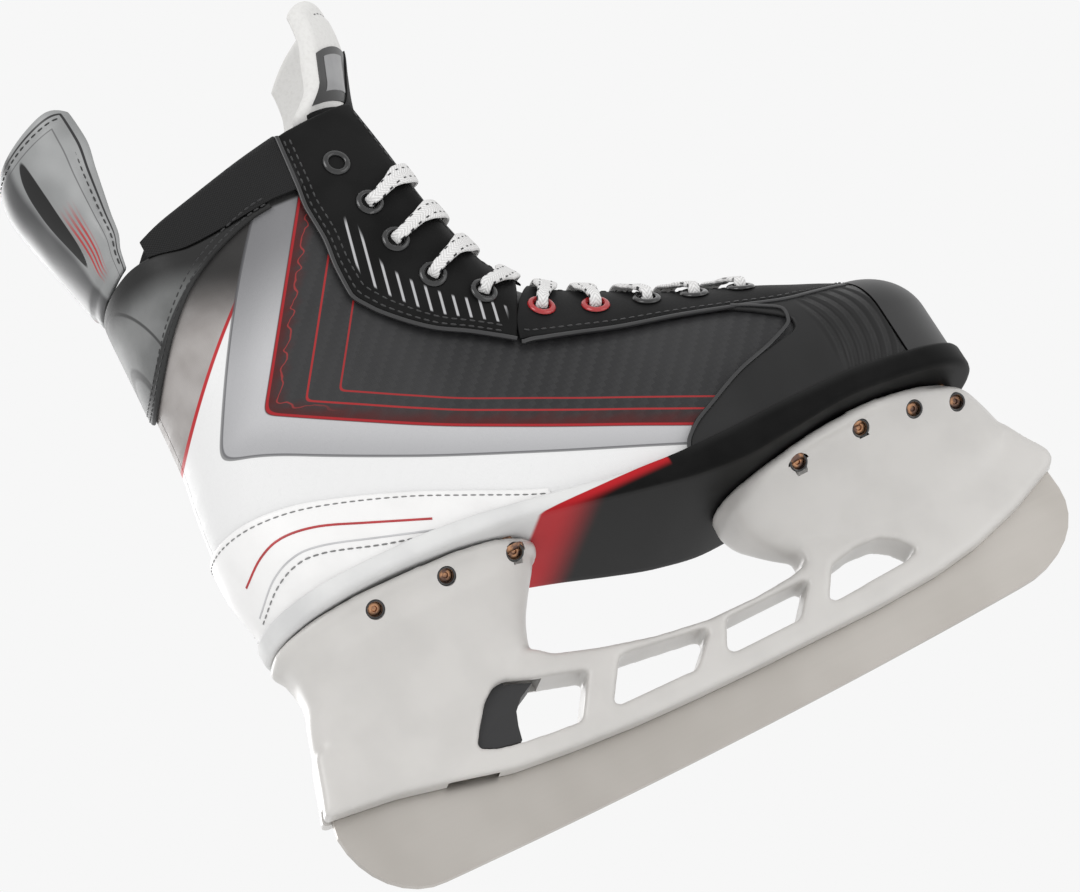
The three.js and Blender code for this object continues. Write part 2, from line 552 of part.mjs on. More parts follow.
function makeCollar() {
  const roll = 2.5;
  const frontEnd = -47.5 * alongLength;
  const bandEnd = -112 * alongLength;
  const bandFoot = (x) => wrapHigh(x) + 0.5;
  const around = (from, to, low, high, [outer, inner], across, up) => {
    const surface = (lift) => (u, v) => {
      const s = mix(from, to, u);
      const x = xAround(s, 230);
      return skinAround(s, mix(low(x), high(x), v), lift);
    };
    return sheet(surface(outer), surface(inner), across, up);
  };
  const ends = sAt(frontEnd);
  const start = sAt(bandEnd);
  const shellBack = SHELL[1] - GAP;
  const pad = around(-ends, ends, (x) => collarLine(x) - 34, (x) => collarLine(x) + roll * smooth(x, -118, -108),
    layer(shellBack, -COLLAR_DEPTH), 18, 3);
  const band = (from, to) => around(from, to, bandFoot, (x) => collarLine(x) + roll, layer(0, -COLLAR_DEPTH), 8, 2);
  const room = [NEAR_SIDE, FAR_SIDE].map((side) => (
    sidePanel(side, (u, v) => quarterPlace(u, v, GAP), layer(SHELL[0] + GAP, shellBack), 24, 8)
  ));
  return cut(joined(band(-ends, -start), band(start, ends), pad), ...room);
}
function forefootBlank(side, layers) {
  const place = (u, v) => {
    const low = (x) => bootFloor(x);
    const xRear = panelFront(mix(85, 133, v));
    const x = mix(xRear, FRONT_END, u);
    const z = shareHeight(x, low(x), facingLower(x) - 0.6, v);
    return [x, z];
  };
  return sidePanel(side, place, layers, 8, 6);
}
function facingBlank(side, layers) {
  const place = (share, v) => {
    const u = 1 - (1 - share) ** 1.7;
    const zRear = mix(SEAM_LOW[1] + 0.5, 263.5, v);
    const zFront = mix(183.5, 268, v);
    const x = mix(facingRear(zRear), throatX(zFront) - 0.3, u);
    return [x, Math.min(mix(zRear, zFront, u), openEdge(x))];
  };
  return sidePanel(side, place, layers, 6, 8);
}
const makeFacing = (side) => cut(facingBlank(side, OVER), ...eyelets(side).slice(0, 5).map(eyeletHole));
// One piece round the front of the throat: up the outer side, over the foot, down the inner side.
function eyestayBlank([outer, inner]) {
  const angleAt = (x, z) => Math.asin(clamp((z - WALL_TOP) / (crown(x) - WALL_TOP), 0, 1));
  const half = 0.42;             // share of the piece taken by each arm
  const surface = (lift) => (u, v) => {
    const side = u < 0.5 ? NEAR_SIDE : FAR_SIDE;
    const t = Math.min(u, 1 - u);
    const share = Math.min(1, t / half);
    const turn = clamp((t - half) / (0.5 - half), 0, 1);
    const xOut = mix(SEAM_LOW[0] + 1.2, FRONT_END, share);
    const xIn = mix(13.4 * alongLength, THROAT_END - 4 * alongLength, share) + turn * 4 * alongLength;
    const outAngle = mix(angleAt(xOut, facingLower(xOut)), Math.PI / 2, turn);
    const inAngle = mix(angleAt(xIn, throatHeight(xIn)), Math.PI / 2, turn);
    const x = mix(xIn, xOut, v);
    const angle = mix(inAngle, outAngle, v);
    const z = WALL_TOP + (crown(x) - WALL_TOP) * Math.sin(angle);
    return skin(x, Math.min(z, crown(x) - 1e-4), side, lift).point;
  };
  return sheet(surface(outer), surface(inner), 34, 3);
}
function makeEyestay() {
  const holes = [NEAR_SIDE, FAR_SIDE].flatMap((side) => eyelets(side).slice(5).map(eyeletHole));
  return cut(eyestayBlank(OVER), ...holes);
}
function makeToeCap() {
  const rise = CROWN_AT_TOE - WALL_TOP;
  const surface = (wall) => (u, v) => {
    const a = (u - 0.5) * Math.PI;
    const forward = Math.abs(Math.cos(a)) ** (2 / TOE_POWER) * (TOE_TIP - TOE_START - wall);
    const half = halfWidth(TOE_START + forward, WALL_TOP - 5) - wall;
    const sideways = signedPower(Math.sin(a), 2 / TOE_POWER) * half;
    const lowShare = 0.25;
    const lift = v < lowShare ? 0 : (v - lowShare) / (1 - lowShare) * Math.PI / 2;
    const floor = bootFloor(TOE_START + forward);
    const x = TOE_START + forward * Math.cos(lift);
    const z = v < lowShare ? mix(floor, WALL_TOP, v / lowShare) : WALL_TOP + (rise - wall) * Math.sin(lift);
    return new THREE.Vector3(x, sideways * Math.cos(lift), z);
  };
  return sheet(surface(0), surface(TOE_CAP_WALL), 18, 8);
}

// ---------------------------------------------------------------- eyelets
const EYELET_PLACES = [[-30, 245], [-27, 226], [-26, 209], [-21, 191], [-8, 177.5], [9.5, 165], [27.5, 157],
  [45.5, 151], [62.5, 145.5], [79.5, 140.5]].map(([x, z]) => [x * alongLength, z]);
function eyelets(side) {
  return EYELET_PLACES.map(([x, z], i) => {
    const { point, normal } = skin(x, z, side);
    const above = EYELET_PLACES[Math.max(0, i - 1)];
    const below = EYELET_PLACES[Math.min(EYELET_PLACES.length - 1, i + 1)];
    const row = new THREE.Vector3(above[0] - below[0], 0, above[1] - below[1]).normalize();
    row.addScaledVector(normal, -row.dot(normal)).normalize();
    const inward = new THREE.Vector3().crossVectors(normal, row).multiplyScalar(side).normalize();
    if (inward.y * side > 0) inward.negate();
    return { point, normal, row, inward, side };
  });
}
const EYELET_CLINCH = 1.1;       // room for the curve of the quarter behind a flat flange
const eyeletHole = ({ point, normal }) => rod(EYELET_HOLE / 2 + 1.1, -9, 6, 8, point, normal);
function makeEyelet({ point, normal }) {
  const hole = EYELET_HOLE / 2;
  const back = SHELL[1] - EYELET_CLINCH;
  const profile = [[hole, back - 0.5], [hole, 0.7], [hole + 1, 1.3], [EYELET_FLANGE / 2, 0.7],
    [EYELET_FLANGE / 2, GAP], [hole + 0.6, GAP], [hole + 0.6, back], [hole + 1.3, back], [hole, back - 0.5]];
  return turned(profile, 8, point, normal);
}

// ---------------------------------------------------------------- tongue
// A point under the foot's crown line: in from the crown to where the skin is |y| wide, then lifted.
function underCrown(xCrown, y, lift) {
  const slope = crown(xCrown + 0.5) - crown(xCrown - 0.5);
  const inward = new THREE.Vector2(slope, -1).normalize();
  if (inward.x > 0) inward.negate();
  let near = 0;
  let far = 90;
  for (let i = 0; i < 40; i += 1) {
    const middle = (near + far) / 2;
    const wide = widthSquared(xCrown + inward.x * middle, crown(xCrown) + inward.y * middle) > y * y;
    if (wide) far = middle;
    else near = middle;
  }
  const side = y < 0 ? NEAR_SIDE : FAR_SIDE;
  return skin(xCrown + inward.x * far, crown(xCrown) + inward.y * far, side, lift).point;
}
const TONGUE_CROWN = [104, 94, 84, 74, 62, 50, 38, 28, 19, 12, 6.5, 3, 0.5, -1.5, -3.2, -4.4];
const TONGUE_HALF = 30;
const UNDER_LACE = SHELL[1] - LACE_ROOM;    // the tongue's outer face, under the facings
const tongueDip = curveThrough([[-4.6, 9], [-3.2, 13], [-1, 15.4], [6, 15], [12, 13.6], [22, 12.6], [84, 12.2],
  [94, 9.8], [104, 4.4]]);
function tongueSurface(u, v, below) {
  const index = v * (TONGUE_CROWN.length - 1);
  const i = Math.min(TONGUE_CROWN.length - 2, Math.floor(index));
  const place = mix(TONGUE_CROWN[i], TONGUE_CROWN[i + 1], index - i);
  const half = TONGUE_HALF * acrossWidth * mix(0.72, 1, smooth(v, 0, 0.45));
  const y = mix(-half, half, u) || 0.01;
  const side = mix(SHELL[1] - GAP, UNDER_LACE, smooth(v, 0, 0.14));
  const middle = Math.max(0, 1 - (y / (19 * acrossWidth)) ** 2);
  const lift = mix(side, -tongueDip(place), middle);
  return underCrown(place * alongLength, y, lift - below);
}
function makeTongueLower() {
  const surface = (below) => (u, v) => tongueSurface(u, v, below);
  return sheet(surface(0), surface(TONGUE_THICKNESS), 10, TONGUE_CROWN.length - 1);
}
const TONGUE_TOP = 318;
const tongueLean = givesX([[256, -12], [262, -8.5], [270, -4], [278, -1.5], [288, 2.5], [298, 6.5], [308, 7.8],
  [318, 7]]);
function makeTongueUpper() {
  const surface = (below) => (u, v) => {
    const root = tongueSurface(u, 1, below);
    const acrossShare = 2 * u - 1;
    const half = TONGUE_HALF * acrossWidth;
    const top = TONGUE_TOP - 9 * Math.abs(acrossShare) ** 4;
    const z = mix(root.z + 3 * GAP, top, v);
    const tuck = 9 * (1 - smooth(z, 266, 280));
    const bow = (17 + tuck) * acrossShare ** 2;
    const inset = half - below * 0.35;
    const free = new THREE.Vector3(tongueLean(z) - bow - below, acrossShare * inset, z);
    const share = smooth(v, 0, 0.3);
    return new THREE.Vector3(mix(root.x, free.x, share), mix(root.y, free.y, share), z);
  };
  return sheet(surface(0), surface(TONGUE_THICKNESS), 10, 8);
}

// ---------------------------------------------------------------- tendon guard
const GUARD_FOOT = 242;
const guardSpine = givesX([[240, -122.5], [260, -125.6], [285, -129], [300, -127], [311, -122.5], [320, -114.5]]);
const guardFront = givesX([[240, -114.5], [250, -113.2], [256, -111], [268, -108.5], [283, -105.5], [295, -103.5],
  [303, -106], [320, -109]]);
function makeTendonGuard() {
  const ankle = halfWidth(HEEL_ROUND, GUARD_FOOT);
  const surface = (wall) => (u, v) => {
    const side = 2 * u - 1;
    const lowX = mix(guardSpine(GUARD_FOOT), guardFront(GUARD_FOOT), Math.abs(side) ** 1.6);
    const low = GUARD_FOOT + GAP + 0.2 + 0.2 * (lowX - guardSpine(GUARD_FOOT));
    const top = 320 - 17 * Math.abs(side) ** 2.4;
    const z = mix(low, top, v);
    const free = smooth(z, GUARD_FOOT, GUARD_FOOT + 24);
    const round = mix(HEEL_ROUND, guardFront(z), free);
    const half = mix(ankle, 28.5 * acrossWidth, free) - wall;
    const spine = guardSpine(z) + wall;
    const x = mix(spine, guardFront(z), Math.abs(side) ** 1.6);
    const y = half * Math.sqrt(Math.max(0, 1 - ((round - x) / (round - spine)) ** 2.4));
    return new THREE.Vector3(x, Math.sign(side) * y, z);
  };
  return sheet(surface(0), surface(GUARD_WALL), 18, 7);
}

// ---------------------------------------------------------------- lace
// A flat band along a path of { at, wide }: the place and the direction of the width.
function band(path, width, thickness) {
  const section = [[1, 0], [0, 1], [-1, 0], [0, -1]];
  const rings = path.map(({ at, wide }, i) => {
    const before = path[Math.max(0, i - 1)].at;
    const after = path[Math.min(path.length - 1, i + 1)].at;
    const along = after.clone().sub(before).normalize();
    const side = wide.clone().addScaledVector(along, -wide.dot(along)).normalize();
    const up = new THREE.Vector3().crossVectors(along, side);
    return section.map(([a, b]) => (
      at.clone().addScaledVector(side, a * width / 2).addScaledVector(up, b * thickness / 2)
    ));
  });
  return loft(rings);
}
const GATHERED = { width: 4.4, thickness: 2.1 };        // the lace where it is drawn through the eyelets
const OVER_FACING = GATHERED.thickness / 2 + 1.1;
const OVER_FLANGE = 1.3 + GATHERED.thickness / 2 + 0.5;
const UNDER_FACING = SHELL[1] - EYELET_CLINCH - 1 - GATHERED.thickness / 2;
const THROAT_EDGE = [-8.5, -6.2, -2.2, 1.8, 12.5, 22, 35.5, 50, 65, 80.5].map((x) => x * alongLength);
const edgeHeight = (row) => [245, 226, 210, 195][row];
// Where a strand that belongs to this row, or between two rows, meets the edge of the throat.
function throatEdge(row) {
  const low = Math.floor(row);
  const place = (i) => {
    const k = clamp(i, 0, 9);
    return [THROAT_EDGE[k], k < 4 ? edgeHeight(k) : throatHeight(THROAT_EDGE[k])];
  };
  const [a, b] = [place(low), place(low + 1)];
  return [mix(a[0], b[0], row - low), mix(a[1], b[1], row - low)];
}
// From an eyelet to the throat's edge, over or under the facing.
function facingRun(row, side, lean, levels) {
  const [fromX, fromZ] = EYELET_PLACES[row];
  const [toX, toZ] = throatEdge(row - lean);
  return levels.map(([share, lift]) => {
    const x = mix(fromX, toX, share);
    const z = Math.min(mix(fromZ, toZ, share), crown(x) - 0.5);
    const here = skin(x, z, side, lift);
    return { at: here.point, normal: here.normal };
  });
}
function throughEyelet(row, side) {
  const { point, normal, inward } = eyelets(side)[row];
  const steps = [[2.4, UNDER_FACING], [0.9, UNDER_FACING + 0.6], [0, UNDER_FACING + 2], [0, 0.8],
    [0.9, OVER_FLANGE - 0.4], [2.6, OVER_FLANGE]];
  return steps.map(([inside, lift]) => (
    { at: point.clone().addScaledVector(inward, inside).addScaledVector(normal, lift), normal }
  ));
}
const outOver = (row, side, lean) => (
  facingRun(row, side, lean, [[0.5, OVER_FLANGE], [0.75, OVER_FACING], [1, OVER_FACING]])
);
const inUnder = (row, side, lean) => (
  facingRun(row, side, lean, [[0.9, UNDER_FACING], [0.6, UNDER_FACING], [0.3, UNDER_FACING]])
);
// From the edge of one facing, down across the throat, to under the edge of the other.
function crossing(fromRow, fromSide, toRow, above) {
  const ends = [[fromRow, fromSide], [toRow, -fromSide]].map(([row, side]) => {
    const [x, z] = throatEdge(row);
    return skin(x, Math.min(z, crown(x) - 0.5), side);
  });
  const middle = -2.4 + above * 1.4;
  const bow = fromRow < 5 ? 14 : 6;            // the tongue pushes the strands forward
  return [0.14, 0.32, 0.5, 0.68, 0.86].map((share) => {
    const normal = ends[0].normal.clone().lerp(ends[1].normal, share).normalize();
    const leave = mix(OVER_FACING, middle, smooth(share, 0.06, 0.36));
    const level = mix(leave, UNDER_FACING - 0.6, smooth(share, 0.62, 0.86)) + bow * share * (1 - share);
    const at = ends[0].point.clone().lerp(ends[1].point, share).addScaledVector(normal, level);
    return { at, normal };
  });
}
const LACED_FROM = 1;            // the top pair of eyelets is left unlaced
const LEAN = 0.36;               // share of a row climbed on the facing before the edge
function strandsFrom(start) {
  const steps = [];
  for (let row = 9; row >= LACED_FROM; row -= 1) {
    const side = (9 - row) % 2 === 0 ? start : -start;
    const next = row - 1;
    const leanIn = next >= LACED_FROM ? -LEAN : 0;
    steps.push(...throughEyelet(row, side), ...outOver(row, side, LEAN));
    steps.push(...crossing(row - LEAN, side, next - leanIn, side));
    if (next >= LACED_FROM) steps.push(...inUnder(next, -side, leanIn));
    else steps.push(...intoBoot(-side));
  }
  return steps;
}
const LACE_EXIT = [-40, 229];    // where a strand leaves the facing for the inside of the boot
function intoBoot(side) {
  const route = [[-14, 245, 0], [-22, 244, 0], [-30, 241.5, 0.6], [-36, 236.5, 1.2], [-39, 232, 1.6]];
  return route.map(([x, z, deeper]) => {
    const here = skin(x * alongLength, z, side, UNDER_FACING - deeper);
    return { at: here.point, normal: here.normal };
  });
}
function makeLace() {
  const outer = strandsFrom(NEAR_SIDE);
  const inner = strandsFrom(FAR_SIDE);
  const barEnds = [outer[0], inner[0]];
  const bar = [0.2, 0.5, 0.8].map((share) => ({
    at: barEnds[0].at.clone().lerp(barEnds[1].at, share).add(new THREE.Vector3(0, 0, 26 * share * (1 - share))),
    normal: barEnds[0].normal.clone().lerp(barEnds[1].normal, share).normalize(),
  }));
  const steps = [...outer.reverse(), ...bar, ...inner];
  const path = steps.map(({ at, normal }, i) => {
    const before = steps[Math.max(0, i - 1)].at;
    const after = steps[Math.min(steps.length - 1, i + 1)].at;
    return { at, along: after.clone().sub(before).normalize(), normal };
  });
  const wide = path.map(({ along, normal }) => new THREE.Vector3().crossVectors(normal, along));
  // In an eyelet the band runs along the normal, and keeps the width it has beside it.
  for (let i = 1; i < wide.length; i += 1) {
    if (wide[i].length() < 0.5) wide[i].copy(wide[i - 1]);
    if (wide[i].dot(wide[i - 1]) < 0) wide[i].negate();
  }
  return band(path.map(({ at }, i) => ({ at, wide: wide[i] })), GATHERED.width, GATHERED.thickness);
}
// The loose ends lie in the boot. Routes are for the outer end; the inner one is their mirror.
const TAIL = { diameter: 3, gap: 0.4 };
const TAIL_ROUTE = [[-44, -25, 219], [-50, -22, 203], [-57, -20, 184], [-65, -19, 162], [-73, -19, 140],
  [-80, -19.5, 122], [-82, -20, 114.2], [-74, -20.5, 112.4], [-60, -21, 111.4], [-44, -22, 109.4],
  [-24, -22.5, 104.8], [-4, -23, 99.4], [16, -24, 94.2], [36, -25, 91.2], [56, -25, 91.3], [70, -23.5, 92.4],
  [79, -18, 93.1], [81, -12, 93.3], [75, -7.6, 92.8], [58, -6.4, 91.5], [36, -6.6, 91.2], [16, -7, 94.2],
  [-4, -7.4, 99.4], [-24, -7.6, 104.8], [-44, -7.8, 109.4], [-56, -8, 111.1]];
const AGLET = { length: 22, diameter: 3.4 };
function tailCurve(side) {
  const { point, normal } = skin(LACE_EXIT[0] * alongLength, LACE_EXIT[1], side, UNDER_FACING - 2);
  const start = point.clone().addScaledVector(normal, 0);
  const rest = TAIL_ROUTE.map(([x, y, z]) => new THREE.Vector3(x * alongLength, -side * y, z));
  return new THREE.CatmullRomCurve3([start, ...rest], false, 'centripetal');
}
function makeTail(side) {
  const section = new THREE.Shape();
  section.absarc(0, 0, TAIL.diameter / 2, 0, 2 * Math.PI);
  const options = { extrudePath: tailCurve(side), steps: 40, curveSegments: 4, bevelEnabled: false };
  return new THREE.ExtrudeGeometry(section, options);
}
function makeAglet(side) {
  const curve = tailCurve(side);
  const along = curve.getTangent(1);
  const at = curve.getPoint(1).addScaledVector(along, TAIL.gap);
  const r = AGLET.diameter / 2;
  const profile = [[0, 0], [r, 0], [r, AGLET.length - 2], [r * 0.6, AGLET.length], [0, AGLET.length]];
  return turned(profile, 10, at, along);
}

// ---------------------------------------------------------------- the skate
const finish = (color, roughness, metalness = 0) => new THREE.MeshStandardMaterial({ color, roughness, metalness });
const steel = finish(0xafa8a2, 0.34, 0.9);
const whitePlastic = finish(0xe2ddd6, 0.42);
const charcoalPlastic = finish(0x2c2b2d, 0.5);
const zincSteel = finish(0xa9a7a3, 0.4, 0.9);
const springSteel = finish(0x8c8a88, 0.35, 0.9);
const copper = finish(0xb0714a, 0.4, 0.85);
const soleComposite = finish(0xcfccc8, 0.45);
const carbonWeave = finish(0x3f3f42, 0.5);
const whiteSynthetic = finish(0xdcdad8, 0.45);
const blackSynthetic = finish(0x1d1d1f, 0.7);
const greyWrap = finish(0x3a3a3d, 0.65);
const toeRubber = finish(0x37373a, 0.45);
const glossBlack = finish(0x0f0f10, 0.25);
const glossRed = finish(0xa3161a, 0.3);
const paddedBlack = finish(0x161617, 0.85);
const silverGuard = finish(0xa9abae, 0.35);
const whiteFelt = finish(0xe6e4df, 0.95);
const footbedFoam = finish(0x2a2a2c, 0.9);
const laceCotton = finish(0xecebe8, 0.9);
const clearTip = finish(0xcfd2d4, 0.3);

const skate = new THREE.Group();
skate.name = 'hockey_skate';
const add = (name, geometry, material) => {
  const mesh = new THREE.Mesh(geometry, material);
  mesh.name = name;
  skate.add(mesh);
};
add('runner', makeRunner(), steel);
add('holder', makeHolder(), whitePlastic);
add('release_trigger', makeTrigger(), charcoalPlastic);
add('trigger_pin', makeTriggerPin(), zincSteel);
add('trigger_spring', makeTriggerSpring(), springSteel);
rivetPlaces.forEach((place, i) => {
  const side = i % 2 === 0 ? 'outer' : 'inner';
  const row = place.zone === 'rear' ? Math.floor(i / 2) + 1 : Math.floor(i / 2) - 2;
  add(`${place.zone}_rivet_${side}_${row}`, makeRivet(place), copper);
});
add('outsole', makeOutsole(), soleComposite);
add('footbed', makeFootbed(), footbedFoam);
[['outer', NEAR_SIDE], ['inner', FAR_SIDE]].forEach(([name, side]) => {
  add(`quarter_${name}`, makeQuarter(side), carbonWeave);
  add(`forefoot_panel_${name}`, forefootBlank(side, OVER), carbonWeave);
  add(`facing_${name}`, makeFacing(side), blackSynthetic);
  eyelets(side).forEach((eyelet, i) => {
    add(`eyelet_${name}_${i + 1}`, makeEyelet(eyelet), i === 5 || i === 6 ? glossRed : glossBlack);
  });
  add(`lace_tail_${name}`, makeTail(side), laceCotton);
  add(`aglet_${name}`, makeAglet(side), clearTip);
});
add('heel_overlay', heelOverlayBlank(OVER), whiteSynthetic);
add('toe_cap', makeToeCap(), toeRubber);
add('eyestay', makeEyestay(), blackSynthetic);
add('ankle_wrap', makeAnkleWrap(), greyWrap);
add('collar', makeCollar(), paddedBlack);
add('tendon_guard', makeTendonGuard(), silverGuard);
add('tongue_lower', makeTongueLower(), whiteFelt);
add('tongue_upper', makeTongueUpper(), whiteFelt);
add('lace', makeLace(), laceCotton);

export default skate;
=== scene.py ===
"""Ice hockey skate: the looks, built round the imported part."""
import math

import bmesh
import bpy
import numpy as np
from mathutils import Matrix, Vector


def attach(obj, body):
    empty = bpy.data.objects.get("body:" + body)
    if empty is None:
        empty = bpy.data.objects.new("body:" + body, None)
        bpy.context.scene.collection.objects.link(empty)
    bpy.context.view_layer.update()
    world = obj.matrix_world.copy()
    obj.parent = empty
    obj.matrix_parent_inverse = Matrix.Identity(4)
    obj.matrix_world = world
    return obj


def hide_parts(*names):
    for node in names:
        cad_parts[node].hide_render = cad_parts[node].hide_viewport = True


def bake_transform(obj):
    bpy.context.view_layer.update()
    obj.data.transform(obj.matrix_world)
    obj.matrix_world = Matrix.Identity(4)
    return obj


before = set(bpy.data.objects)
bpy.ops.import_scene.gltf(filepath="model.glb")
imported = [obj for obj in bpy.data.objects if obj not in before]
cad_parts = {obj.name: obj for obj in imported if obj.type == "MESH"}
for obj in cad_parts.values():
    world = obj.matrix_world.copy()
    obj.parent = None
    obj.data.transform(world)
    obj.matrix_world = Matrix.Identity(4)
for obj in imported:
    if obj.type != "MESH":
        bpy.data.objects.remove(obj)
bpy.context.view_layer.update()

MM = 0.001
OUTER, INNER = -1, 1
BOTH = (("outer", OUTER), ("inner", INNER))
UP = Vector((0, 0, 1))


# ------------------------------------------------------------------ camera, light and floor
FLOOR_HALF, FLOOR_HEIGHT = 6, -0.55
LIGHTS_MEET = Vector((0, 0, 0.15))
LIGHTS = (("key_light", (-0.9, -1.5, 1.3), 1.1, 11), ("fill_light", (1.3, -1.4, -0.1), 1.2, 4),
          ("rim_light", (-0.5, 1.6, 1.0), 1.0, 8))


def new_object(name, data):
    made = bpy.data.objects.new(name, data)
    bpy.context.collection.objects.link(made)
    return made


def look_from(azimuth, elevation, roll, distance, target, lens):
    a, e, r = (math.radians(v) for v in (azimuth, elevation, roll))
    back = Vector((math.sin(a) * math.cos(e), -math.cos(a) * math.cos(e), math.sin(e)))
    right = Vector((math.cos(a), math.sin(a), 0))
    up = back.cross(right)
    turned_right = right * math.cos(r) - up * math.sin(r)
    turned_up = right * math.sin(r) + up * math.cos(r)
    data = bpy.data.cameras.new("camera")
    data.lens, data.sensor_width, data.clip_end = lens, 36, 20
    camera = new_object("camera", data)
    turn = Matrix((turned_right, turned_up, back)).transposed().to_4x4()
    camera.matrix_world = Matrix.Translation(Vector(target) + back * distance) @ turn
    bpy.context.scene.camera = camera


def soft_light(name, place, size, power):
    data = bpy.data.lights.new(name, "AREA")
    data.shape, data.size, data.energy = "DISK", size, power
    light = new_object(name, data)
    light.location = place
    light.rotation_euler = (LIGHTS_MEET - Vector(place)).to_track_quat("-Z", "Y").to_euler()


def studio():
    look_from(azimuth=-21, elevation=-17, roll=31.618, distance=1.4,
              target=(-0.00703, 0, 0.1281), lens=130.73)
    for light in LIGHTS:
        soft_light(*light)
    world = bpy.data.worlds.new("studio")
    world.use_nodes = True
    background = world.node_tree.nodes["Background"].inputs
    background["Color"].default_value = (1, 1, 1, 1)
    background["Strength"].default_value = 0.93
    bpy.context.scene.world = world
    bpy.context.scene.view_settings.view_transform = "Standard"
    corners = [(x * FLOOR_HALF, y * FLOOR_HALF, FLOOR_HEIGHT)
               for x, y in ((-1, -1), (1, -1), (1, 1), (-1, 1))]
    data = bpy.data.meshes.new("floor")
    data.from_pydata(corners, [], [(0, 1, 2, 3)])
    data.materials.append(Finish("pale_floor", 0.93, 0.9).material)
    new_object("floor", data)


# ------------------------------------------------------------------ how materials are made
OBJECT_PLACE = 3
MIX_AMOUNT, MIX_FIRST, MIX_SECOND, MIX_RESULT = 0, 6, 7, 2


def rgba(color):
    """A colour with its alpha; a single number is a grey."""
    return (*np.broadcast_to(color, 3), 1)


def tinted(color, factor, plus=0.0):
    return tuple(c * factor + plus for c in color)


class Term:
    """A socket that can be used in a Python expression; each operation adds its Math node."""

    def __init__(self, finish, socket):
        self.finish, self.socket = finish, socket

    def math(self, operation, *others):
        return self.finish.node("ShaderNodeMath", {"operation": operation}, [self, *others])[0]

    def __add__(self, other): return self.math("ADD", other)
    def __sub__(self, other): return self.math("SUBTRACT", other)
    def __rsub__(self, other): return (self * -1).math("ADD", other)
    def __mul__(self, other): return self.math("MULTIPLY", other)
    def __truediv__(self, other): return self.math("DIVIDE", other)
    def abs(self): return self.math("ABSOLUTE")
    def sine(self): return self.math("SINE")
    def floor(self): return self.math("FLOOR")
    def fraction(self): return self.math("FRACT")
    def least(self, other): return self.math("MINIMUM", other)
    def blended_least(self, other, radius): return self.math("SMOOTH_MIN", other, radius)
    __radd__, __rmul__ = __add__, __mul__

    def rise(self, low, high):
        """0 below low, 1 above high, smooth between."""
        return self.finish.node("ShaderNodeMapRange", {"interpolation_type": "SMOOTHSTEP"},
                                {"Value": self, "From Min": low, "From Max": high})[0]

    def line(self, width, soft=0.25):
        """1 where the value is within half a width of nought."""
        return 1 - self.abs().rise(width / 2 - soft / 2, width / 2 + soft / 2)


class Finish:
    """A material under construction, with its places in millimetres."""

    def __init__(self, name, color, roughness, metallic=0.0, **constants):
        self.material = bpy.data.materials.new(name)
        self.material.use_nodes = True
        self.tree = self.material.node_tree
        self.shader = self.tree.nodes["Principled BSDF"].inputs
        constants.update(base_color=rgba(color), roughness=roughness, metallic=metallic)
        for key, value in constants.items():
            socket = key.replace("_", " ").title().replace("Ior", "IOR")
            self.shader[socket].default_value = value

    def feed(self, socket, value):
        if isinstance(value, Term):
            self.tree.links.new(value.socket, socket)
        else:
            socket.default_value = value

    def node(self, kind, settings, inputs):
        made = self.tree.nodes.new(kind)
        for key, value in settings.items():
            setattr(made, key, value)
        for key, value in enumerate(inputs) if isinstance(inputs, list) else inputs.items():
            self.feed(made.inputs[key], value)
        return [Term(self, out) for out in made.outputs if out.enabled]

    def object_place(self):
        return self.node("ShaderNodeTexCoord", {}, [])[OBJECT_PLACE]

    def place(self):
        """Length, breadth and height, in millimetres."""
        parts = self.node("ShaderNodeSeparateXYZ", {}, [self.object_place()])
        return [part * 1000 for part in parts]

    def along(self):
        """The piece's own map: lengthwise and crosswise, in millimetres."""
        where = self.node("ShaderNodeUVMap", {"uv_map": "way"}, [])[0]
        return self.node("ShaderNodeSeparateXYZ", {}, [where])[:2]

    def noise(self, size_mm, detail, stretch=(1, 1, 1)):
        where = {"Vector": self.object_place(), "Scale": stretch}
        inputs = {"Vector": self.node("ShaderNodeMapping", {}, where)[0],
                  "Scale": 1000 / size_mm, "Detail": detail}
        return self.node("ShaderNodeTexNoise", {}, inputs)[0]

    def mix(self, amount, first, second):
        made = self.tree.nodes.new("ShaderNodeMix")
        made.data_type = "RGBA"
        self.feed(made.inputs[MIX_AMOUNT], amount)
        for socket, color in ((MIX_FIRST, first), (MIX_SECOND, second)):
            self.feed(made.inputs[socket], color if isinstance(color, Term) else rgba(color))
        return Term(self, made.outputs[MIX_RESULT])

    def layered(self, color, *layers):
        """A colour with others laid over it, each where its own mask is 1."""
        for amount, over in layers:
            color = self.mix(amount, color, over)
        return color

    def done(self, color, roughness=None, bump=None):
        """Connects what was made; bump is a height, its depth in millimetres and its strength."""
        self.feed(self.shader["Base Color"], color)
        if roughness is not None:
            self.feed(self.shader["Roughness"], roughness)
        if bump:
            inputs = {"Height": bump[0], "Distance": bump[1] * MM, "Strength": bump[2]}
            self.feed(self.shader["Normal"], self.node("ShaderNodeBump", {}, inputs)[0])
        return self.material


def drifting(name, color, roughness, drift, band, pair, rough=None, grain=None, bump=None,
             **constants):
    """Two colours that drift into one another, over a fine grain.

    drift and grain are noises; rough is the noise it follows, its least value and its range.
    """
    finish = Finish(name, color, roughness, **constants)
    noises = {"drift": finish.noise(*drift)}
    if grain:
        noises["grain"] = finish.noise(*grain)
    mixed = finish.mix(noises["drift"].rise(*band), *pair)
    return finish.done(mixed, rough and rough[1] + noises[rough[0]] * rough[2],
                       bump and (noises["grain"], *bump))


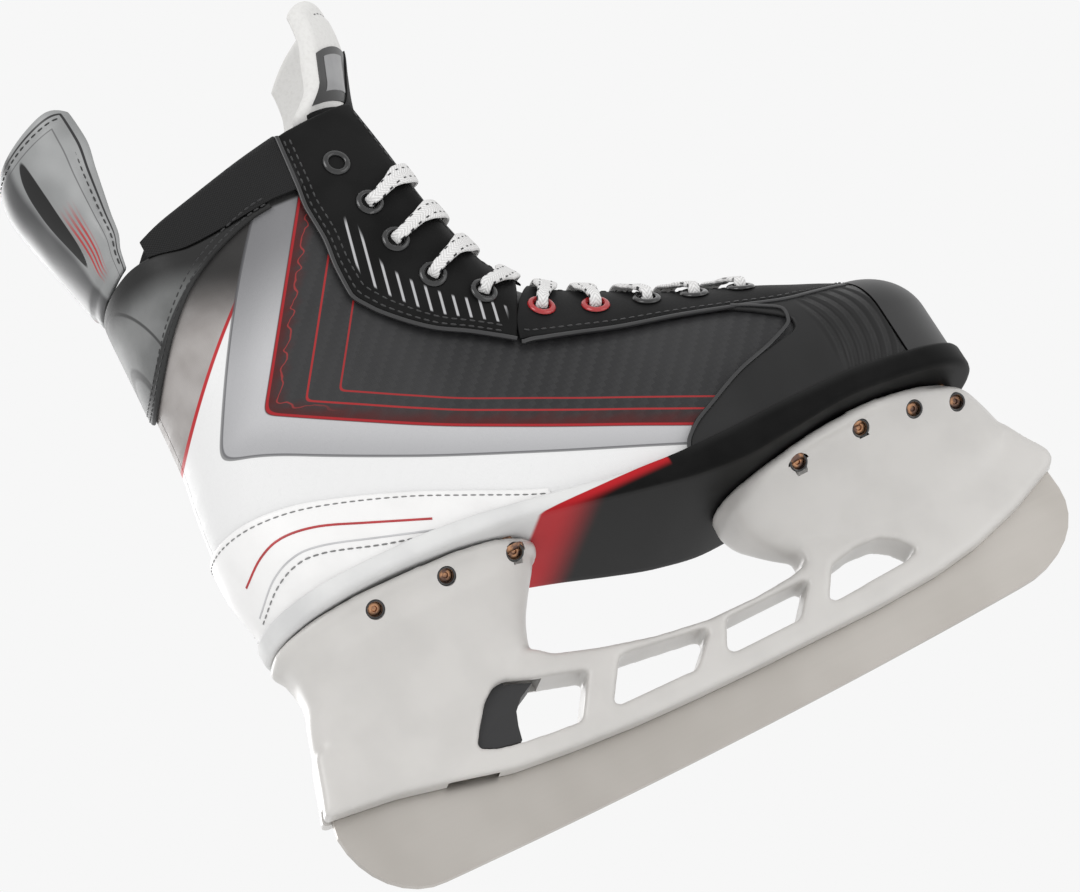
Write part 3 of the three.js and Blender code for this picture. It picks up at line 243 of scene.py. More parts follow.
# ------------------------------------------------------------------ plain materials
def brushed_steel():
    return drifting("brushed_steel", (0.47, 0.45, 0.43), 0.34, (40, 2.0), (0.3, 0.7),
                    ((0.43, 0.405, 0.375), (0.475, 0.45, 0.42)), ("grain", 0.3, 0.2),
                    (3.0, 4.0, (0.06, 1, 1.6)), (0.02, 0.6), metallic=1.0)


def moulded_plastic(name, color, roughness, grain_mm, depth, coat):
    return drifting(name, color, roughness, (22, 3.0), (0.35, 0.7), (color, tinted(color, 0.93)),
                    ("drift", roughness - 0.05, 0.12), (grain_mm, 2.0), (depth, 0.5),
                    coat_weight=coat, coat_roughness=0.3)


def copper_rivet():
    return drifting("copper_rivet", (0.45, 0.23, 0.13), 0.4, (2.5, 4.0), (0.4, 0.65),
                    ((0.5, 0.27, 0.15), (0.16, 0.1, 0.08)), ("drift", 0.3, 0.25), metallic=0.9)


def enamel(name, color):
    return drifting(name, color, 0.22, (1.6, 4.0), (0.62, 0.78), (color, tinted(color, 1, 0.12)),
                    ("drift", 0.18, 0.14), metallic=0.1, coat_weight=0.6, coat_roughness=0.1)


def white_synthetic():
    return drifting("white_synthetic", (0.66, 0.655, 0.65), 0.42, (35, 4.0), (0.4, 0.75),
                    ((0.78, 0.775, 0.77), (0.68, 0.675, 0.67)), ("drift", 0.34, 0.2),
                    (0.8, 3.0), (0.03, 0.4), coat_weight=0.1, coat_roughness=0.3)


def matt_synthetic(name, color):
    return drifting(name, color, 0.6, (30, 3.0), (0.3, 0.7), (color, tinted(color, 1.4, 0.002)),
                    ("grain", 0.48, 0.2), (0.7, 3.0), (0.06, 0.6), specular_ior_level=0.12)


def thread(name, color):
    return drifting(name, color, 0.6, (0.6, 2.0), (0.3, 0.7), (color, tinted(color, 0.7)),
                    grain=(0.35, 2.0), bump=(0.05, 0.6), sheen_weight=0.2)


def printed(name, color):
    return drifting(name, color, 0.38, (12, 3.0), (0.35, 0.7), (color, tinted(color, 0.8)),
                    coat_weight=0.2, coat_roughness=0.2)


# ------------------------------------------------------------------ patterned materials
def carbon_shell():
    """Dark woven shell, with an L of silver, red and white bands toward the heel, and painted light
    and shade.
    """
    finish = Finish("carbon_shell", (0.03, 0.03, 0.032), 0.36, specular_ior_level=0.25)
    x, _, z = finish.place()
    # How far inside the L's edges, its red lines, its outer edge and the ankle's line a place is.
    lower_arm = (x + 101) * 0.486 + (z - 170) * 0.874
    upright_arm = (x + 101) * 0.80 - (z - 170) * 0.602
    inside = lower_arm.blended_least(upright_arm, 6)
    first_line = (lower_arm - 6.5).blended_least(upright_arm - 14, 3)
    second_line = (lower_arm - 11).blended_least(upright_arm - 25, 3)
    bow = (z - 185) * (z - 185) * 0.0022
    outer_arm = (x + 117 - bow) * 0.847 - (z - 170) * 0.532
    outside = ((x + 112) * 0.442 + (z - 160) * 0.897).blended_least(outer_arm, 9)
    ankle = (z - 160) * 0.712 - (x + 143) * 0.702 + (z - 190) * (z - 190) * 0.0022
    # Tows that pass over and under one another, each of many strands.
    tow, turn = 1.9, 2 * math.pi / 0.62
    stagger = (x / tow).floor() + (z / tow).floor() * 3
    over = (stagger / 4).fraction().rise(0.45, 0.55)
    strands = over * (x * turn).sine() + (1 - over) * (z * turn).sine()
    ripple = (z * 0.9 + finish.noise(9, 2.0) * 9).sine()
    weave = finish.layered(
        finish.mix(over * 0.8 + strands * 0.1, (0.019, 0.019, 0.020), (0.029, 0.029, 0.030)),
        (finish.noise(55, 2.0).rise(0.35, 0.7) * 0.5, (0.042, 0.042, 0.043)),
        ((1 - (inside + ripple * 0.7).rise(0, 8)) * 0.85, (0.075, 0.006, 0.006)),
        ((inside - 0.8).line(0.9), (0.32, 0.012, 0.016)),
        ((inside - 4.4 - ripple * 0.8).line(0.45, 0.2) * z.rise(158, 172) * 0.8,
         (0.30, 0.03, 0.03)),
        (first_line.line(0.7), (0.33, 0.02, 0.022)),
        (second_line.line(0.65), (0.30, 0.02, 0.022)))
    cloud = finish.noise(30, 3.0).rise(0.3, 0.7)
    grey = finish.mix(cloud, (0.22, 0.20, 0.19), (0.38, 0.36, 0.35))
    # The rear's white and grey and its red ankle line, then painted shade that darkens it toward
    # its top, behind the ankle wrap.
    rear = finish.layered(
        finish.mix(ankle.rise(-0.3, 0.3), 0.72, grey),
        (ankle.line(1.2), (0.42, 0.02, 0.025)),
        (((z - 196) * 0.82 + (x + 85) * 0.25).rise(0, 24) * 0.95, 0.012))
    # Painted highlight: the silver band is lighter toward the L's inner edge; painted shade darkens
    # it higher up, so it is lightest at the lower corner.
    highlight_toward_edge = (inside + (z - 190) * 0.02).rise(-14, 0)
    silver = finish.layered(
        finish.mix(highlight_toward_edge, (0.36, 0.36, 0.37), (0.46, 0.46, 0.47)),
        ((z - 185).rise(0, 45) * 0.75, (0.10, 0.10, 0.105)))
    color = finish.layered(
        rear,
        (outside.rise(-0.2, 0.2), silver),
        (outside.line(1.0) * 0.75, (0.07, 0.07, 0.075)),
        (inside.rise(-0.2, 0.3), weave),
        ((z - 238.5).rise(0, 1.5), 0.012))
    unwoven = 1 - inside.rise(-1, 1)
    height = strands * 0.3 + over * 0.8 - unwoven * 1.2 + outside.line(2) * 1.5
    return finish.done(color, 0.34 + unwoven * 0.1 + (1 - over) * 0.06, (height, 0.04, 0.6))


def striped_facing():
    """Matt black with fine silver lines that lean across it behind the eyelets."""
    finish = Finish("striped_facing", 0.005, 0.5, specular_ior_level=0.1)
    x, _, z = finish.place()
    across, up = finish.along()
    zone = across.rise(6.5, 7.5) * (1 - (across + up * 0.05).rise(17, 18.5))
    zone = zone * up.rise(2, 4) * (1 - up.rise(60, 64))
    stripes = (((x - z * 0.29) / 4.6).fraction() - 0.5).line(0.2, 0.06) * zone
    pores = finish.noise(0.7, 3.0)
    base = finish.mix(finish.noise(26, 3.0).rise(0.3, 0.7), 0.003, 0.009)
    color = finish.mix(stripes, base, (0.42, 0.42, 0.43))
    return finish.done(color, 0.52 - stripes * 0.15 + pores * 0.1,
                       (pores + stripes * 0.6, 0.05, 0.6))


def woven_cloth(name, color, thread_mm):
    finish = Finish(name, color, 0.75, specular_ior_level=0.2)
    x, y, z = finish.place()
    turn = 2 * math.pi / thread_mm
    cell = ((x + y * 0.6) * turn).sine() * (z * turn).sine()
    slub = finish.noise(4, 4.0)
    mixed = finish.mix(cell.rise(-0.6, 0.9) * 0.6 + slub * 0.3, color, tinted(color, 1.9, 0.01))
    return finish.done(mixed, 0.66 + slub * 0.2, (cell + slub * 0.6, 0.09, 0.8))


def forefoot_shell():
    """Smooth dark grey, with raised pleats toward the toe cap, their troughs darkened with painted
    shade.
    """
    finish = Finish("forefoot_shell", 0.012, 0.45, specular_ior_level=0.3)
    x, _, z = finish.place()
    bow = (z - 104) * (z - 104) * 0.018
    pleat = (x - 100 + bow - (z - 104) * 0.06) / 5.2
    ridge = (pleat * (2 * math.pi)).sine() * (x.rise(88, 93) * z.rise(84, 88))
    dust = finish.noise(40, 3.0)
    base = finish.mix(dust.rise(0.3, 0.7), (0.010, 0.010, 0.0102), (0.022, 0.022, 0.0225))
    # Painted shade: the pleats' troughs go near black.
    color = finish.mix(ridge.rise(-1, -0.4) * 0.6, 0.003, base)
    return finish.done(color, 0.36 + dust * 0.15, (ridge, 0.7, 0.8))


def sole_shell():
    """Light grey at the heel, a red slash, then black along the arch and forefoot."""
    finish = Finish("sole_shell", (0.6, 0.6, 0.59), 0.45, specular_ior_level=0.06)
    x, _, z = finish.place()
    slash = z - 94.6 + (x + 33) * 0.068
    dust = finish.noise(30, 4.0)
    cloud = dust.rise(0.35, 0.7)
    light = finish.mix(cloud, (0.66, 0.66, 0.655), 0.56)
    black = finish.layered(finish.mix(cloud, 0.004, 0.009),
                           (z.rise(86, 91) * x.rise(10, 40) * 0.7, 0.03))
    slashed = finish.layered(black, (slash.rise(-4.5, -1.2), (0.40, 0.015, 0.02)),
                             (slash.rise(-0.2, 0.1), light))
    color = finish.layered(light, (x.rise(-47, -46), slashed), (x.rise(14, 15), black))
    return finish.done(color, 0.42 + dust * 0.14, (finish.noise(0.9, 3.0), 0.03, 0.4))


GUARD_MAP, TONGUE_MAP = (80, 76), (64, 58)


def silver_guard():
    """Silver grey, with a slot-shaped black patch and red stripes low on each side."""
    finish = Finish("silver_guard", (0.42, 0.425, 0.43), 0.4, specular_ior_level=0.35)
    across, up = finish.along()
    off_spine = (across - GUARD_MAP[0] / 2).abs()
    cloud = finish.noise(28, 2.0)
    spine = 1 - off_spine.rise(8, 12)
    slot_across = (off_spine - 14 - (up - 38) * 0.05) / 3.6
    slot_up = (up - 40) / 27
    slot = 1 - (slot_across * slot_across + slot_up * slot_up).rise(0.86, 1.0)
    fade = up.rise(3, 10) * (1 - up.rise(22, 40))
    sweep = off_spine - 17 - (up - 20) * 0.05
    stripes = ((sweep / 2.4).fraction() - 0.5).line(0.5, 0.1)
    stripes = stripes * fade * sweep.rise(-1, 0) * (1 - sweep.rise(7, 9))
    edge = across.least(GUARD_MAP[0] - across).least(GUARD_MAP[1] - up)
    color = finish.layered(
        finish.mix(cloud.rise(0.3, 0.7), (0.34, 0.345, 0.345), (0.22, 0.225, 0.225)),
        ((spine * (0.6 + cloud * 0.5)).least(1.0), (0.035, 0.035, 0.037)),
        (stripes * 0.9, (0.38, 0.02, 0.02)),
        ((edge - 8.5).line(0.5, 0.2) * 0.7, (0.05, 0.05, 0.052)),
        ((edge - 3.1).line(0.9, 0.2), (0.02, 0.02, 0.021)),
        (slot, 0.006))
    height = finish.noise(1.2, 3.0) * 0.3 - slot * 3
    return finish.done(color, 0.26 + cloud * 0.16, (height, 0.1, 0.4))


def shaded_wrap():
    """Grey panel with painted shade that turns it black along its upper part, and painted shade in
    the grooves along the tendon.
    """
    finish = Finish("shaded_wrap", 0.1, 0.5, specular_ior_level=0.3)
    x, _, z = finish.place()
    from_edge = finish.along()[1]
    cloud = finish.noise(24, 3.0)
    low = (z - 205) * (z - 205) * 0.004
    # Two grooves along the tendon, pressed into the bump and darkened in the colour with painted
    # shade.
    crease_and_shade = (x + 124 + low).line(0.7, 0.3) + (x + 117 + low * 1.3).line(0.6, 0.3)
    color = finish.layered(
        finish.mix(cloud.rise(0.3, 0.7), (0.11, 0.113, 0.112), (0.19, 0.193, 0.192)),
        # Painted shade: black toward the top of the panel.
        (((z - 226) + (x + 118) * 0.25).rise(0, 12), 0.012),
        ((1 - from_edge.rise(4.6, 5.6)) * 0.85, 0.008),
        # Painted shade darkens the two grooves.
        (crease_and_shade.least(1.0) * 0.8, 0.02))
    pores = finish.noise(0.7, 3.0)
    return finish.done(color, 0.42 + pores * 0.15, (pores - crease_and_shade * 2, 0.06, 0.5))


def felt(name, light, dark):
    finish = Finish(name, light, 0.95, sheen_weight=0.1, sheen_roughness=0.5,
                    specular_ior_level=0.2)
    fluff, clump = finish.noise(1.3, 5.0), finish.noise(9, 3.0)
    color = finish.mix(fluff.rise(0.4, 0.75) * 0.4 + clump * 0.2, light, dark)
    return finish.done(color, bump=(fluff + clump * 1.2, 0.16, 0.6))


def lace_weave():
    """White flat weave with two rows of black flecks."""
    finish = Finish("lace_weave", (0.74, 0.735, 0.73), 0.88, specular_ior_level=0.2)
    length, width = finish.along()
    herring = (length * 4.4 + width.abs() * 5).sine()
    fleck = ((length / 4.2).fraction() - 0.5).line(0.40, 0.1)
    fleck = fleck * (width.abs() - 2.1).line(0.6, 0.3)
    base = finish.mix(herring.rise(-0.9, 0.7), (0.60, 0.595, 0.59), (0.78, 0.775, 0.77))
    color = finish.mix(fleck, base, (0.03, 0.03, 0.032))
    return finish.done(color, bump=(herring + (width * 7).sine() * 0.5, 0.09, 0.8))


# ------------------------------------------------------------------ sizes, in millimetres
OVERLAY, QUARTER, GAP = 1.3, 2.2, 0.3
OVER = (0.0, -OVERLAY)
SHELL = (-OVERLAY - GAP, -OVERLAY - GAP - QUARTER)
COLLAR_DEPTH, COLLAR_ROLL, EDGE_INSET = 12, 4, 1.2
COLLAR_FRONT, COLLAR_BACK = -44.8, -112
SOLE_PLATE, FOOTBED_FLOOR = 4, 2.4
WALL_TOP, TOE_POWER = 108, 2.3
TOE_START, TOE_TIP, HEEL_ROUND, MEAN_HEEL = 117, 146, -95, -127
FRONT_END = TOE_START - GAP
CROWN_AT_TOE, CROWN_MARGIN = 132.5, 0.5
THROAT_TOP, THROAT_END, THROAT_LEAST = -10, 98, 0.6
SEAM_LOW = (-7, 155.5)
WRAP_LEVEL, COLLAR_LEVEL = 210, 230
ROUND_FOOT = 330


def curve_through(points):
    """A smooth curve through a few points that never overshoots them."""
    xs, ys = np.array(points, float).T
    rise = np.diff(ys) / np.diff(xs)
    slope = np.concatenate([rise[:1], np.zeros(len(xs) - 2), rise[-1:]])
    product = rise[:-1] * rise[1:]
    total = np.where(np.abs(rise[:-1] + rise[1:]) < 1e-12, 1, rise[:-1] + rise[1:])
    slope[1:-1] = np.where(product > 0, 2 * product / total, 0)

    def value(x):
        at = np.clip(x, xs[0], xs[-1])
        i = np.clip(np.searchsorted(xs, at, side="right") - 1, 0, len(xs) - 2)
        h = xs[i + 1] - xs[i]
        t = (at - xs[i]) / h
        a, b = (1 + 2 * t) * (1 - t) ** 2, t * (1 - t) ** 2
        c, d = t * t * (3 - 2 * t), t * t * (t - 1)
        return a * ys[i] + b * h * slope[i] + c * ys[i + 1] + d * h * slope[i + 1]

    return value


def smooth(value, low, high):
    t = np.clip((np.asarray(value, float) - low) / (high - low), 0, 1)
    return t * t * (3 - 2 * t)


def mix(a, b, share):
    return a + (b - a) * share


def signed_power(value, exponent):
    return np.sign(value) * np.abs(value) ** exponent


def unit(vectors):
    return vectors / np.linalg.norm(vectors, axis=-1, keepdims=True)


def fading(away, reach):
    """1 at an edge and 0 from a reach inward."""
    return 1 - np.clip(away / reach, 0, 1)


def rolled_edge(away, reach):
    """A quarter round: 1 at an edge and 0 from a reach inward."""
    return 1 - np.sqrt(np.clip(1 - fading(away, reach) ** 2, 0, 1))


def travelled(path):
    """How far along a path each of its points is."""
    return np.concatenate([[0], np.cumsum(np.linalg.norm(np.diff(path, axis=0), axis=1))])


def sampled(at, run, rows):
    return np.stack([np.interp(at, run, column) for column in rows.T], 1)


# Curves of height or half breadth over the length; the heel, tongue and facing run over height.
heel_line = curve_through([(76, -132), (108, -132), (128, -134.5), (140, -134), (158, -131.5),
                           (178, -127.5), (205, -125), (240, -122.5), (270, -121)])
foot_half = curve_through([(-134, 31), (-95, 31), (-60, 32), (-20, 36), (20, 42), (60, 46.5),
                           (84, 46), (104, 42.5), (117, 38.5), (146, 30)])
crown = curve_through([(-60, 1300), (-40, 900), (-25, 520), (-16, 400), (-10, 335), (-5.7, 268),
                       (1.5, 217), (9, 196), (17, 185.5), (26, 178), (40, 169), (56, 159.7),
                       (70, 153.5), (86, 146.7), (98, 141), (108, 136.6), (117, CROWN_AT_TOE)])
sole_under = curve_through([(-134, 98.5), (-112, 100), (-90, 100.5), (-67, 99.5), (-47, 97.5),
                            (-33, 94.5), (-15, 90), (5, 84.5), (24, 80), (42, 78), (60, 79),
                            (85, 81), (110, 80.5), (130, 79.5), (150, 79)])
rim_top = curve_through([(-134, 107), (-80, 107), (-60, 105.5), (-40, 102), (-20, 97.5), (0, 93),
                         (20, 90.5), (45, 89.5), (90, 90), (110, 89), (128, 88.5), (146, 89)])
collar_line = curve_through([(-130, 241), (-122, 241.5), (-112, 245), (-100, 249), (-80, 254.5),
                             (-60, 259.5), (-45, 263), (-30, 266), (-12, 268)])
throat_half = curve_through([(-10, 27), (-5.7, 26), (1.5, 24), (12, 21), (26, 19), (56, 17),
                             (82, 16), (92, 10.5), (98, 0.6)])
facing_rear = curve_through([(156, -7), (166, -20), (173, -31), (181, -40), (189, -47), (197, -51),
                             (207, -50.5), (222, -48.5), (232, -48.5), (242, -47), (264, -44)])
throat_x = curve_through([(183.5, 12), (189, 6.5), (194, 1.5), (207, -1.5), (223, -5.7), (245, -8),
                          (268, -10.5)])
facing_lower = curve_through([(-8, 156), (10, 151), (30, 144), (50, 138), (70, 131.5), (90, 125.5),
                              (117, 124)])
heel_overlay_top = curve_through([(-135, 142), (-125, 141), (-110, 138), (-90, 132), (-70, 124),
                                  (-50, 114), (-30, 103.5), (-24, 101)])
wrap_low = curve_through([(-135, 178), (-126, 196), (-112, 214), (-97, 226), (-80, 234),
                          (-66, 238), (-58, 239)])
wrap_high = curve_through([(-135, 241.5), (-118, 242), (-110, 241), (-95, 237.5), (-80, 238.5),
                           (-62, 240.5), (-58, 241)])
panel_front = curve_through([(84, 22), (92, 25), (97, 31), (101, 40), (107, 55), (111, 70),
                             (116, 81), (121, 82.5), (127, 76), (133, 66)])


# ------------------------------------------------------------------ the boot's skin
def boot_floor(x):
    return sole_under(x) + SOLE_PLATE + GAP


def width_squared(x, z):
    """Square of the boot's half width at a place along the foot and a height."""
    ankle = 5.5 * smooth(z, 130, 188) * (1 - smooth(x, -70, -12))
    body = foot_half(x) + ankle
    to_heel = np.maximum(0, (HEEL_ROUND - x) / (HEEL_ROUND - heel_line(z)))
    rise = np.maximum(0, z - WALL_TOP) / (crown(x) - WALL_TOP)
    return body * body * (1 - to_heel ** 2.4) * (1 - rise * rise)


def half_width(x, z):
    return np.sqrt(np.maximum(0, width_squared(x, z)))


def skin_normal(x, z, side):
    step = 0.02
    by_length = (width_squared(x + step, z) - width_squared(x - step, z)) / (2 * step)
    by_height = (width_squared(x, z + step) - width_squared(x, z - step)) / (2 * step)
    outward = 2 * (side * half_width(x, z))
    return unit(np.stack(np.broadcast_arrays(-by_length, outward, -by_height), -1))


def skin(x, z, side, lift=0.0):
    """A point on the boot's outer skin, lifted off it."""
    x, z, side, lift = np.broadcast_arrays(*(np.asarray(v, float) for v in (x, z, side, lift)))
    base = np.stack([x, side * half_width(x, z), z], -1)
    return base + skin_normal(x, z, side) * lift[..., None]


def mean_x(s):
    """Place along the foot for a share of the way round it: 0 at the heel, 1 or -1 at the toe."""
    return MEAN_HEEL + (TOE_TIP - MEAN_HEEL) * (1 - np.cos(np.pi * np.abs(s))) / 2


def x_around(s, z):
    return mean_x(s) + (heel_line(z) - MEAN_HEEL) * (1 - smooth(mean_x(s), MEAN_HEEL, -50))


def s_at(x):
    return math.acos(1 - 2 * (x - MEAN_HEEL) / (TOE_TIP - MEAN_HEEL)) / math.pi


def skin_around(s, z, lift):
    return skin(x_around(s, z), z, np.where(s < 0, OUTER, INNER), lift)


def throat_height(x):
    half = np.where(x > THROAT_END, THROAT_LEAST, throat_half(x))
    share = half / np.maximum(half_width(x, WALL_TOP), 1e-9)
    return WALL_TOP + (crown(x) - WALL_TOP) * np.sqrt(np.maximum(0, 1 - share ** 2))


def open_edge(x):
    lower = np.minimum(collar_line(x), throat_height(x))
    return np.where(x < THROAT_TOP, collar_line(x), lower)


def share_height(x, low, high, v):
    """Height that shares out the arch over the foot evenly, from a low to a high line."""
    reach = crown(x) - WALL_TOP

    def angle(z):
        t = (z - WALL_TOP) / reach
        return np.where(z < WALL_TOP, t, np.arcsin(np.clip(t, -1, 1)))

    a = mix(angle(low), angle(high), v)
    return WALL_TOP + reach * np.where(a < 0, a, np.sin(a))


# ------------------------------------------------------------------ mesh makers
def piece_from(name, points, faces, material, ways=None, smooth_shade=True):
    """A mesh piece in metres from points in millimetres; ways are its own map, per point."""
    data = bpy.data.meshes.new(name)
    data.from_pydata((np.asarray(points, float) * MM).tolist(), [], faces)
    piece = new_object(name, data)
    if ways is not None:
        loops = np.empty(len(data.loops), int)
        data.loops.foreach_get("vertex_index", loops)
        flat = np.asarray(ways, float)[loops].ravel()
        data.uv_layers.new(name="way").data.foreach_set("uv", flat)
    built = bmesh.new()
    built.from_mesh(data)
    bmesh.ops.remove_doubles(built, verts=built.verts, dist=2e-6)
    bmesh.ops.dissolve_degenerate(built, edges=built.edges, dist=1e-7)
    bmesh.ops.recalc_face_normals(built, faces=built.faces)
    if built.calc_volume(signed=True) < 0:
        bmesh.ops.reverse_faces(built, faces=built.faces)
    built.to_mesh(data)
    built.free()
    if smooth_shade:
        soft_shading(piece)
    data.materials.append(material)
    return piece


def soft_shading(piece, angle=38):
    piece.data.shade_smooth()
    piece.data.set_sharp_from_angle(angle=math.radians(angle))


def ticks(length, step, edge=1.6):
    """Places from 0 to 1 along a length, close together near its two ends."""
    near = np.array([0, 0.2, 0.5, 0.9, 1.6]) * (edge / 1.6) / length
    spans = max(2, int(round((length - 2 * edge) / step)))
    middle = np.linspace(near[-1], 1 - near[-1], spans + 1)[1:-1]
    return np.concatenate([near, middle, 1 - near[::-1]])


def ring_quads(grid):
    """The numbers of a grid's points, and the quads between its rows, each a closed ring."""
    index = np.arange(grid.shape[0] * grid.shape[1]).reshape(grid.shape[:2])
    turn = np.roll(index, -1, axis=1)
    quads = np.stack([index[:-1], turn[:-1], turn[1:], index[1:]], -1)
    return index, quads.reshape(-1, 4).tolist()


def closed_sheet(name, outer, inner, material, ways=None):
    """A solid sheet from two grids of points of the same shape."""
    layer = outer.shape[0] * outer.shape[1]
    index = np.arange(layer).reshape(outer.shape[:2])
    corners = [index[:-1, :-1], index[:-1, 1:], index[1:, 1:], index[1:, :-1]]
    quads = np.stack(corners, -1).reshape(-1, 4)
    faces = [quads, quads[:, ::-1] + layer]
    for line in (index[0], index[-1][::-1], index[:, 0][::-1], index[:, -1]):
        faces.append(np.stack([line[1:], line[:-1], line[:-1] + layer, line[1:] + layer], -1))
    points = np.concatenate([outer.reshape(-1, 3), inner.reshape(-1, 3)])
    ways = None if ways is None else np.concatenate([ways.reshape(-1, 2)] * 2)
    return piece_from(name, points, np.concatenate(faces).tolist(), material, ways)


def edge_distance(points):
    """How far each grid point is from the sheet's nearest edge, along the grid."""
    along = np.linalg.norm(np.diff(points, axis=1), axis=-1)
    upward = np.linalg.norm(np.diff(points, axis=0), axis=-1)
    from_left = np.concatenate([np.zeros((len(points), 1)), np.cumsum(along, 1)], 1)
    from_low = np.concatenate([np.zeros((1, points.shape[1])), np.cumsum(upward, 0)], 0)
    sides = [from_left, from_left[:, -1:] - from_left, from_low, from_low[-1:] - from_low]
    return np.minimum.reduce(sides)


EDGE_ROUND, PUFF_REACH = 0.7, 9


def puffed(away, puff):
    return puff * (1 - fading(away, PUFF_REACH) ** 2)


def skin_sheet(name, place, size, material, side=None, puff=0.0):
    """A panel on the skin: place gives x and z, or s and z when it goes round the heel."""
    u, v = np.meshgrid(ticks(size[0], 2.0), ticks(size[1], 2.0))
    first, z = place(u, v)

    def at(lift):
        return skin_around(first, z, lift) if side is None else skin(first, z, side, lift)

    away = edge_distance(at(0.0))
    rounding = EDGE_ROUND * fading(away, 1.6 * EDGE_ROUND) ** 2
    outer = at(OVER[0] - rounding + puffed(away, puff))
    ways = np.stack([u * size[0], v * size[1]], -1)
    return closed_sheet(name, outer, at(OVER[1]), material, ways)


def ribbon(name, points, wide, width, thickness, material, sides=10):
    """A flat band along points; width and thickness may change along it."""
    points = np.asarray(points, float)
    along = unit(np.gradient(points, axis=0))
    wide = np.asarray(wide, float)
    wide = unit(wide - along * np.sum(wide * along, 1, keepdims=True))
    up = np.cross(along, wide)
    angle = np.arange(sides) / sides * 2 * np.pi
    a, b = signed_power(np.cos(angle), 0.55), signed_power(np.sin(angle), 0.8)
    width, thickness = (np.broadcast_to(size, len(points))[:, None, None] / 2
                        for size in (width, thickness))
    rings = points[:, None] + wide[:, None] * a[None, :, None] * width
    rings = rings + up[:, None] * b[None, :, None] * thickness
    run = np.repeat(travelled(points)[:, None], sides, 1)
    ways = np.stack([run, a[None, :] * width[:, :, 0]], -1)
    index, faces = ring_quads(rings)
    faces += [index[0].tolist(), index[-1][::-1].tolist()]
    return piece_from(name, rings.reshape(-1, 3), faces, material, ways.reshape(-1, 2))


def bend_through(points, spacing=1.5):
    """A smooth path through a few points, evenly stepped."""
    p = np.asarray(points, float)
    p = np.concatenate([[2 * p[0] - p[1]], p, [2 * p[-1] - p[-2]]])
    path = []
    for before, here, there, after in zip(p, p[1:], p[2:], p[3:]):
        steps = max(2, int(np.linalg.norm(there - here) / spacing))
        t = (np.arange(steps) / steps)[:, None]
        path.append(0.5 * (2 * here + (there - before) * t
                           + (2 * before - 5 * here + 4 * there - after) * t ** 2
                           + (3 * here - 3 * there + after - before) * t ** 3))
    return np.concatenate(path + [p[-2:-1]])


def turned(name, profile, at, direction, material, sides=32, smooth_shade=True):
    """A profile of radius and height, turned about a line through a place."""
    angle = np.arange(sides) / sides * 2 * np.pi
    radius, height = np.array(profile, float).T[:, :, None]
    parts = np.broadcast_arrays(radius * np.cos(angle), radius * np.sin(angle), height)
    rings = np.stack(parts, -1)
    turn = np.array(UP.rotation_difference(Vector(direction)).to_matrix())
    points = rings.reshape(-1, 3) @ turn.T + at
    return piece_from(name, points, ring_quads(rings)[1], material, smooth_shade=smooth_shade)


def join(pieces, name):
    """One piece out of several, in one mesh."""
    built = bmesh.new()
    for piece in pieces:
        built.from_mesh(piece.data)
    data = bpy.data.meshes.new(name)
    built.to_mesh(data)
    built.free()
    data.materials.append(pieces[0].data.materials[0])
    whole = new_object(name, data)
    for piece in pieces:
        bpy.data.objects.remove(piece)
    return whole


def settle(piece):
    """Turns a piece with modifiers into a plain mesh."""
    depsgraph = bpy.context.evaluated_depsgraph_get()
    data = bpy.data.meshes.new_from_object(piece.evaluated_get(depsgraph))
    piece.modifiers.clear()
    piece.data = data


def modified(piece, kind, **settings):
    modifier = piece.modifiers.new(kind.lower(), kind)
    for key, value in settings.items():
        setattr(modifier, key, value)
    settle(piece)


def cut_away(piece, tools):
    for tool in tools:
        modified(piece, "BOOLEAN", operation="DIFFERENCE", solver="MANIFOLD", object=tool)
        bpy.data.objects.remove(tool)


def repeater():
    """Geometry nodes that put one shape on every point, turned along its own direction."""
    tree = bpy.data.node_groups.new("repeat_along", "GeometryNodeTree")
    add, link = tree.interface.new_socket, tree.links.new
    add("Geometry", in_out="INPUT", socket_type="NodeSocketGeometry")
    shape = add("Shape", in_out="INPUT", socket_type="NodeSocketObject")
    material = add("Material", in_out="INPUT", socket_type="NodeSocketMaterial")
    add("Geometry", in_out="OUTPUT", socket_type="NodeSocketGeometry")
    start, end, info, direction, turn, copies, real, dress = (tree.nodes.new(kind) for kind in (
        "NodeGroupInput", "NodeGroupOutput", "GeometryNodeObjectInfo",
        "GeometryNodeInputNamedAttribute", "FunctionNodeAlignRotationToVector",
        "GeometryNodeInstanceOnPoints", "GeometryNodeRealizeInstances", "GeometryNodeSetMaterial"))
    direction.data_type = "FLOAT_VECTOR"
    direction.inputs["Name"].default_value = "direction"
    turn.axis = "Z"
    link(start.outputs[0], copies.inputs["Points"])
    link(start.outputs[1], info.inputs["Object"])
    link(info.outputs["Geometry"], copies.inputs["Instance"])
    link(direction.outputs["Attribute"], turn.inputs["Vector"])
    link(turn.outputs["Rotation"], copies.inputs["Rotation"])
    link(copies.outputs["Instances"], real.inputs[0])
    link(real.outputs[0], dress.inputs["Geometry"])
    link(start.outputs[2], dress.inputs["Material"])
    link(dress.outputs[0], end.inputs[0])
    return tree, shape.identifier, material.identifier


REPEAT = repeater()
STITCH = [(0, -1.25), (0.30, -0.75), (0.34, 0.6), (0, 1.15)]


